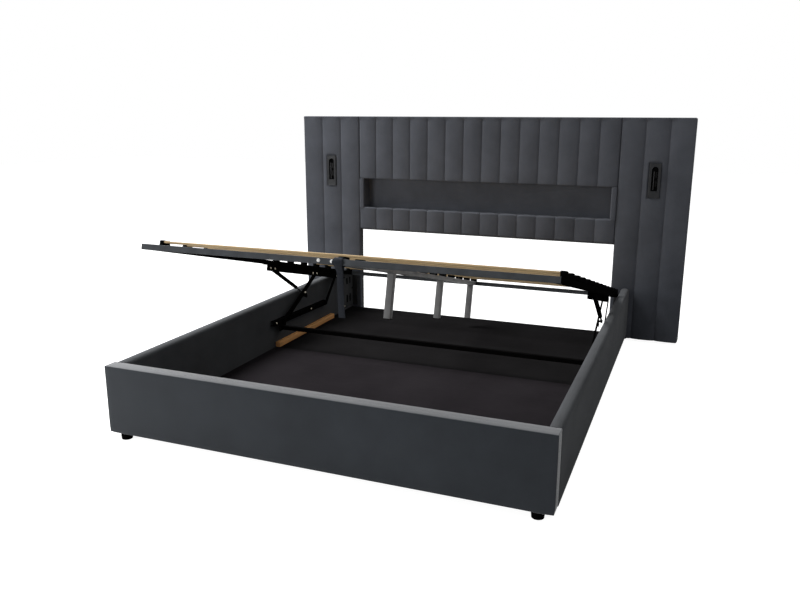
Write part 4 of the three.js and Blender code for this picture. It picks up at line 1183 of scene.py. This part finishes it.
def upper_brackets():
    """Pressed angles under the side bars, with the studs of the front arm and the strut."""
    start, end = BRACKET_SPAN
    low, cut = -BRACKET_HEIGHT, 4
    web = np.array([(start + cut, low), (end - cut, low), (end, low + cut), (end, -GAP),
                    (start, -GAP), (start, low + cut)], float)
    flange_place = ((WEB_INNER + PLATFORM_HALF) / 2, -GAP - 1.25)
    flange = solid_bar(1, BRACKET_SPAN, flange_place, (PLATFORM_HALF - WEB_INNER, 2.5), 0.8)
    studs = [turned_piece(pin(4, length, 8, 4), (WEB_INNER, at, -BRACKET_DROP), (1, 0, 0))
             for length, at in ((9.3, FRONT_HINGE_AT), (26.3, STRUT_TOP_AT))]
    solids = [plate(web, WEB_INNER, WEB_INNER + 3), flange, *studs]
    pairs((ON_PLATFORM, solids, "hinge_bracket_{}", "platform",
           BLACK_COAT, "black_steel", "upper_bracket_{}"))


def plugs():
    """Round white plugs in the front face of the front bar."""
    height, places = 12, (-41, 11)
    profile = [(CORE, 1.6), (3.0, 1.6), (5.4, 1.3), (6.8, 0.4), (6.8, -0.4), (CORE, -0.4)]
    shape = Shape(ON_PLATFORM)
    for x in places:
        shape.add(turned_piece(profile, (x, 0, height), (0, -1, 0), 28))
    shape.make("tube_plugs", "platform", WHITE_PLASTIC)


def pull_strap():
    """Webbing that loops round the front bar and hangs straight down. The band's middle line is
    a list of places in Y and Z: two straight runs and between them a rounded square, whose
    sine and cosine are raised to a power under one. Its thickness goes to both sides."""
    middle = platform_place(TUBE_WIDTH / 2, TUBE_HEIGHT / 2)
    power, half_y, half_z = 0.86, TUBE_WIDTH / 2 + 7, TUBE_HEIGHT / 2 + 5
    angle = np.radians(np.linspace(-62, 242, 44))
    loop_y = half_y * np.sign(np.cos(angle)) * np.abs(np.cos(angle)) ** power
    loop_z = half_z * np.sign(np.sin(angle)) * np.abs(np.sin(angle)) ** power
    loop = turned_points(np.stack([np.zeros(len(angle)), loop_y, loop_z], -1), -TILT, (0, 0))[:, 1:]
    drop = np.linspace(-34, STRAP_END, 34)
    apart = np.full(len(drop), 1.3)
    hang_front, hang_back = np.stack([-apart, drop], -1), np.stack([apart, drop[::-1]], -1)
    line = np.concatenate([hang_back, loop, hang_front]) + middle
    tangent = np.gradient(line, axis=0)
    tangent /= np.linalg.norm(tangent, axis=1, keepdims=True)
    normal = np.stack([tangent[:, 1], -tangent[:, 0]], -1)
    below = middle[1] - line[:, 1]
    drift = 5.0 * np.clip((below - 30) / 170, 0, 1) ** 1.5
    half_width = STRAP_WIDTH / 2 + 9 * np.clip(1 - np.abs(below + 4) / 30, 0, 1) ** 1.5
    rings = []
    for place, out, shift, half in zip(line, normal, drift, half_width):
        outline = rounded_outline(2 * half, 2.0, 0.8, 2)
        across, thick = outline[:, :1], outline[:, 1:]
        rings.append(np.concatenate([STRAP_MIDDLE + shift + across, place + out * thick], -1))
    Shape().add(loft(rings)).make("strap", "platform", STRAP_WEBBING, "webbing", "pull_strap")
    shape = Shape()
    for z in (-42, -60):
        for x in STRAP_MIDDLE - 9.6 + 2.6 * np.arange(8):
            place = (middle[0] - 2.6, middle[1] + z)
            shape.add(solid_bar(0, (x, x + 1.8), place, (0.6, 0.8), 0.25, 0.2))
    shape.make("strap_stitches", "platform", THREAD)


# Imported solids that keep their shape, and small fittings

def both(name):
    """The names of a node's left and right copies."""
    return [f"{name}_{side}" for side in SIDES]


def kept_nodes():
    """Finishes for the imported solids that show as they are."""
    paint_nodes(FLOOR_BOARD, "floor_panel_front")
    # The rear panel's darker tone is painted shade from the platform above it.
    paint_nodes(REAR_BOARD_PAINTED_SHADE, "floor_panel_rear")
    paint_nodes(FRAME_WOOD, "footboard_board", "floor_beam")
    paint_nodes(BACK_CLOTH, *both("wing_board"), "centre_board_upper", "centre_board_lower")
    paint_nodes(BLACK_COAT, "cross_tie_bar", *both("base_bar"))
    paint_nodes(PLATE_COAT, *both("rail_hook_plate"))
    paint_nodes(BLACK_PLASTIC, *both("power_box"))


def battens():
    """Softwood battens along the foot of each rail, their long edges planed round."""
    width, height = BATTEN_SIZE
    place = (RAIL_INNER - GAP - width / 2, FLOOR_TOP + GAP + height / 2)
    batten = solid_bar(1, BATTEN_SPAN, place, BATTEN_SIZE, 2.2, 1.5)
    pairs((None, [batten], "floor_batten_{}", "base", BATTEN_WOOD, "batten_wood", "rail_batten_{}"))


def hook_tongues_slot_shade():
    """Black steel tongues of the headboard's hooks in the plates' slots, black also as painted shade
    for the slots' dark depth, and the black heads that they end in on this side."""
    tongue_x, head_x = HOOK_PLATE_FACE + 1.7, HOOK_PLATE_FACE - 0.6
    solids = []
    # The tongues fill the slots in black: partly the hooks, partly painted shade deep in the slots.
    for y in (2028, 2062):
        for span, wide in (((208, 224), 7.4), ((93.5, 118.5), 13)):
            solids.append(solid_bar(2, span, (tongue_x, y), (2.0, wide), 0.8, 0.5))
    for y in (2022, 2064):
        for span in ((198, 236), (82, 130)):
            solids.append(solid_bar(2, span, (head_x, y), (1.4, 15), 0.6, 0.5))
    pairs((None, solids, "hook_tongues_slot_shade_{}", "base", BLACK_COAT))


def headboard_back():
    """Behind the headboard: steel plates with bolts that join the wings to the middle, staples
    that hold the cloth along the sides and the top, and the collars of the cable glands."""
    plate_half, plate_size = 60, (2.4, 38)
    staple, staple_pitch, border = 10, 36.0, 16
    staple_y = BOARD_BACK + 0.35
    collar = [(CORE, 0), (9.6, 0), (9.6, 1.6), (8.4, 2.6), (5.4, 2.8), (4.6, 1.4), (CORE, 1.4)]
    plates, bolts = [], []
    span = (CENTRE_HALF - plate_half, CENTRE_HALF + plate_half)
    for z in (600, 900, 1100):
        plates.append(solid_bar(0, span, (BOARD_BACK + 1.4, z), plate_size, 1.0, 0.7))
        for x in (-44, -20, 20, 44):
            bolts.append(turned_piece(BOLT, (CENTRE_HALF + x, BOARD_BACK + 2.5, z), (0, 1, 0), 18))
    staples = []
    for z in np.arange(BASE_BOTTOM + 40, HEADBOARD_TOP - 20, staple_pitch):
        place = (HEADBOARD_HALF - border, staple_y)
        staples.append(solid_bar(2, (z, z + staple), place, (1.2, 0.7), 0.3, 0.3))
    for x in np.arange(30, HEADBOARD_HALF - 30, staple_pitch):
        place = (staple_y, HEADBOARD_TOP - border)
        staples.append(solid_bar(0, (x, x + staple), place, (0.7, 1.2), 0.3, 0.3))
    gland = turned_piece(collar, (MODULE_MIDDLE, BOARD_BACK + 6.2, MODULE_HEIGHT), (0, 1, 0), 24)
    pairs(
        (None, plates, "joining_plates_{}", "base", BLACK_COAT),
        (None, bolts, "joining_bolts_{}", "base", ZINC),
        (None, staples, "back_staples_{}", "base", ZINC),
        (None, [gland], "cable_gland_{}", "base", BLACK_PLASTIC),
    )


# Camera, light and floor

SENSOR_WIDTH = 36
LENS = 34.383
CAMERA_PLACE = (1.2012, -3.2405, 1.2332)
# Degrees round from the front, down from level, and tipped to one side
CAMERA_TURNS = (21.709, 13.831, 0.103)
WORLD_LIGHT = 0.27
FLOOR_PAINT = (0.35, 0.35, 0.35)
FLOOR_GLOW = 0.93
# Name, place, target, size and power in watts
LAMPS = (
    ("overhead", (-2.6, 0.9, 3.6), (-0.3, -0.2, 0.0), 3.0, 430),
    ("front", (-3.2, -4.6, 1.3), (-0.4, 0.0, 0.5), 2.2, 132),
    ("right", (2.0, 0.9, 2.8), (-0.7, -0.1, 0.1), 2.2, 18),
)


def camera():
    """The photograph's view: its place, direction and lens were worked out from the bed's edges."""
    data = bpy.data.cameras.new("camera")
    data.sensor_width, data.lens = SENSOR_WIDTH, LENS
    data.clip_start, data.clip_end = 0.05, 60
    eye = linked("camera", data)
    azimuth, fall, tip = np.radians(CAMERA_TURNS)
    level = math.cos(fall)
    ahead = Vector((-math.sin(azimuth) * level, math.cos(azimuth) * level, -math.sin(fall)))
    eye.location = CAMERA_PLACE
    eye.rotation_mode = "QUATERNION"
    eye.rotation_quaternion = ahead.to_track_quat("-Z", "Y") @ Quaternion((0, 0, 1), tip)
    bpy.context.scene.camera = eye


def area_lamp(name, place, target, size, power):
    """A round lamp that looks from its place towards a target; its power is in watts."""
    data = bpy.data.lights.new(name, "AREA")
    data.shape, data.size, data.energy = "DISK", size, power
    lamp = linked(name, data)
    lamp.location = place
    lamp.rotation_mode = "QUATERNION"
    lamp.rotation_quaternion = (Vector(target) - Vector(place)).to_track_quat("-Z", "Y")


def seen_directly(tree):
    """One where a ray from the camera, a mirror or a pane of glass meets the surface."""
    path = node(tree, "ShaderNodeLightPath")
    total = path.outputs["Is Camera Ray"]
    for name in ("Is Glossy Ray", "Is Transmission Ray"):
        inputs = {0: total, 1: path.outputs[name]}
        total = node(tree, "ShaderNodeMath", inputs, operation="ADD", use_clamp=True).outputs["Value"]
    return total


def world():
    """Even pale light, and plain white where the background is seen."""
    made = bpy.data.worlds.new("studio")
    bpy.context.scene.world = made
    made.use_nodes = True
    tree = made.node_tree
    light = tree.nodes["Background"]
    light.inputs["Color"].default_value = (0.96, 0.98, 1.0, 1)
    light.inputs["Strength"].default_value = WORLD_LIGHT
    white = node(tree, "ShaderNodeBackground", {"Color": (1, 1, 1, 1), "Strength": 1.0})
    inputs = {0: seen_directly(tree), 1: light.outputs[0], 2: white.outputs[0]}
    mix = node(tree, "ShaderNodeMixShader", inputs)
    tree.links.new(mix.outputs[0], tree.nodes["World Output"].inputs["Surface"])


def studio_floor():
    """A white floor that keeps the bed's shadow: grey paint, and a glow where it is seen."""
    half = 14
    mesh = bpy.data.meshes.new("studio_floor")
    corners = [(-half, -half, 0), (half, -half, 0), (half, half, 0), (-half, half, 0)]
    mesh.from_pydata(corners, [], [(0, 1, 2, 3)])
    look = bpy.data.materials.new("floor_paint")
    look.use_nodes = True
    tree = look.node_tree
    paint = tree.nodes["Principled BSDF"]
    paint.inputs["Base Color"].default_value = (*FLOOR_PAINT, 1)
    paint.inputs["Roughness"].default_value = 0.9
    strength = node(tree, "ShaderNodeMath", {0: seen_directly(tree), 1: FLOOR_GLOW}, operation="MULTIPLY")
    inputs = {"Color": (1, 1, 1, 1), "Strength": strength.outputs["Value"]}
    glow = node(tree, "ShaderNodeEmission", inputs)
    total = node(tree, "ShaderNodeAddShader", {0: paint.outputs[0], 1: glow.outputs[0]})
    tree.links.new(total.outputs[0], tree.nodes["Material Output"].inputs["Surface"])
    mesh.materials.append(look)
    linked("studio_floor", mesh)


def studio():
    """Camera, floor and soft light: a strong lamp overhead on the left, a weaker one in front
    and a small one above the right that fills in."""
    camera()
    world()
    studio_floor()
    for lamp in LAMPS:
        area_lamp(*lamp)
    bpy.context.scene.view_settings.view_transform = "Standard"


base_covers()
rail_planks()
corner_stitches()
corner_plates()
feet()
headboard_pads()
niche()
power_faceplates()
power_sockets()
arms()
struts()
fasteners()
platform_frame()
slat_holders()
slats()
centre_beam()
upper_brackets()
plugs()
pull_strap()
battens()
hook_tongues_slot_shade()
headboard_back()
kept_nodes()
studio()
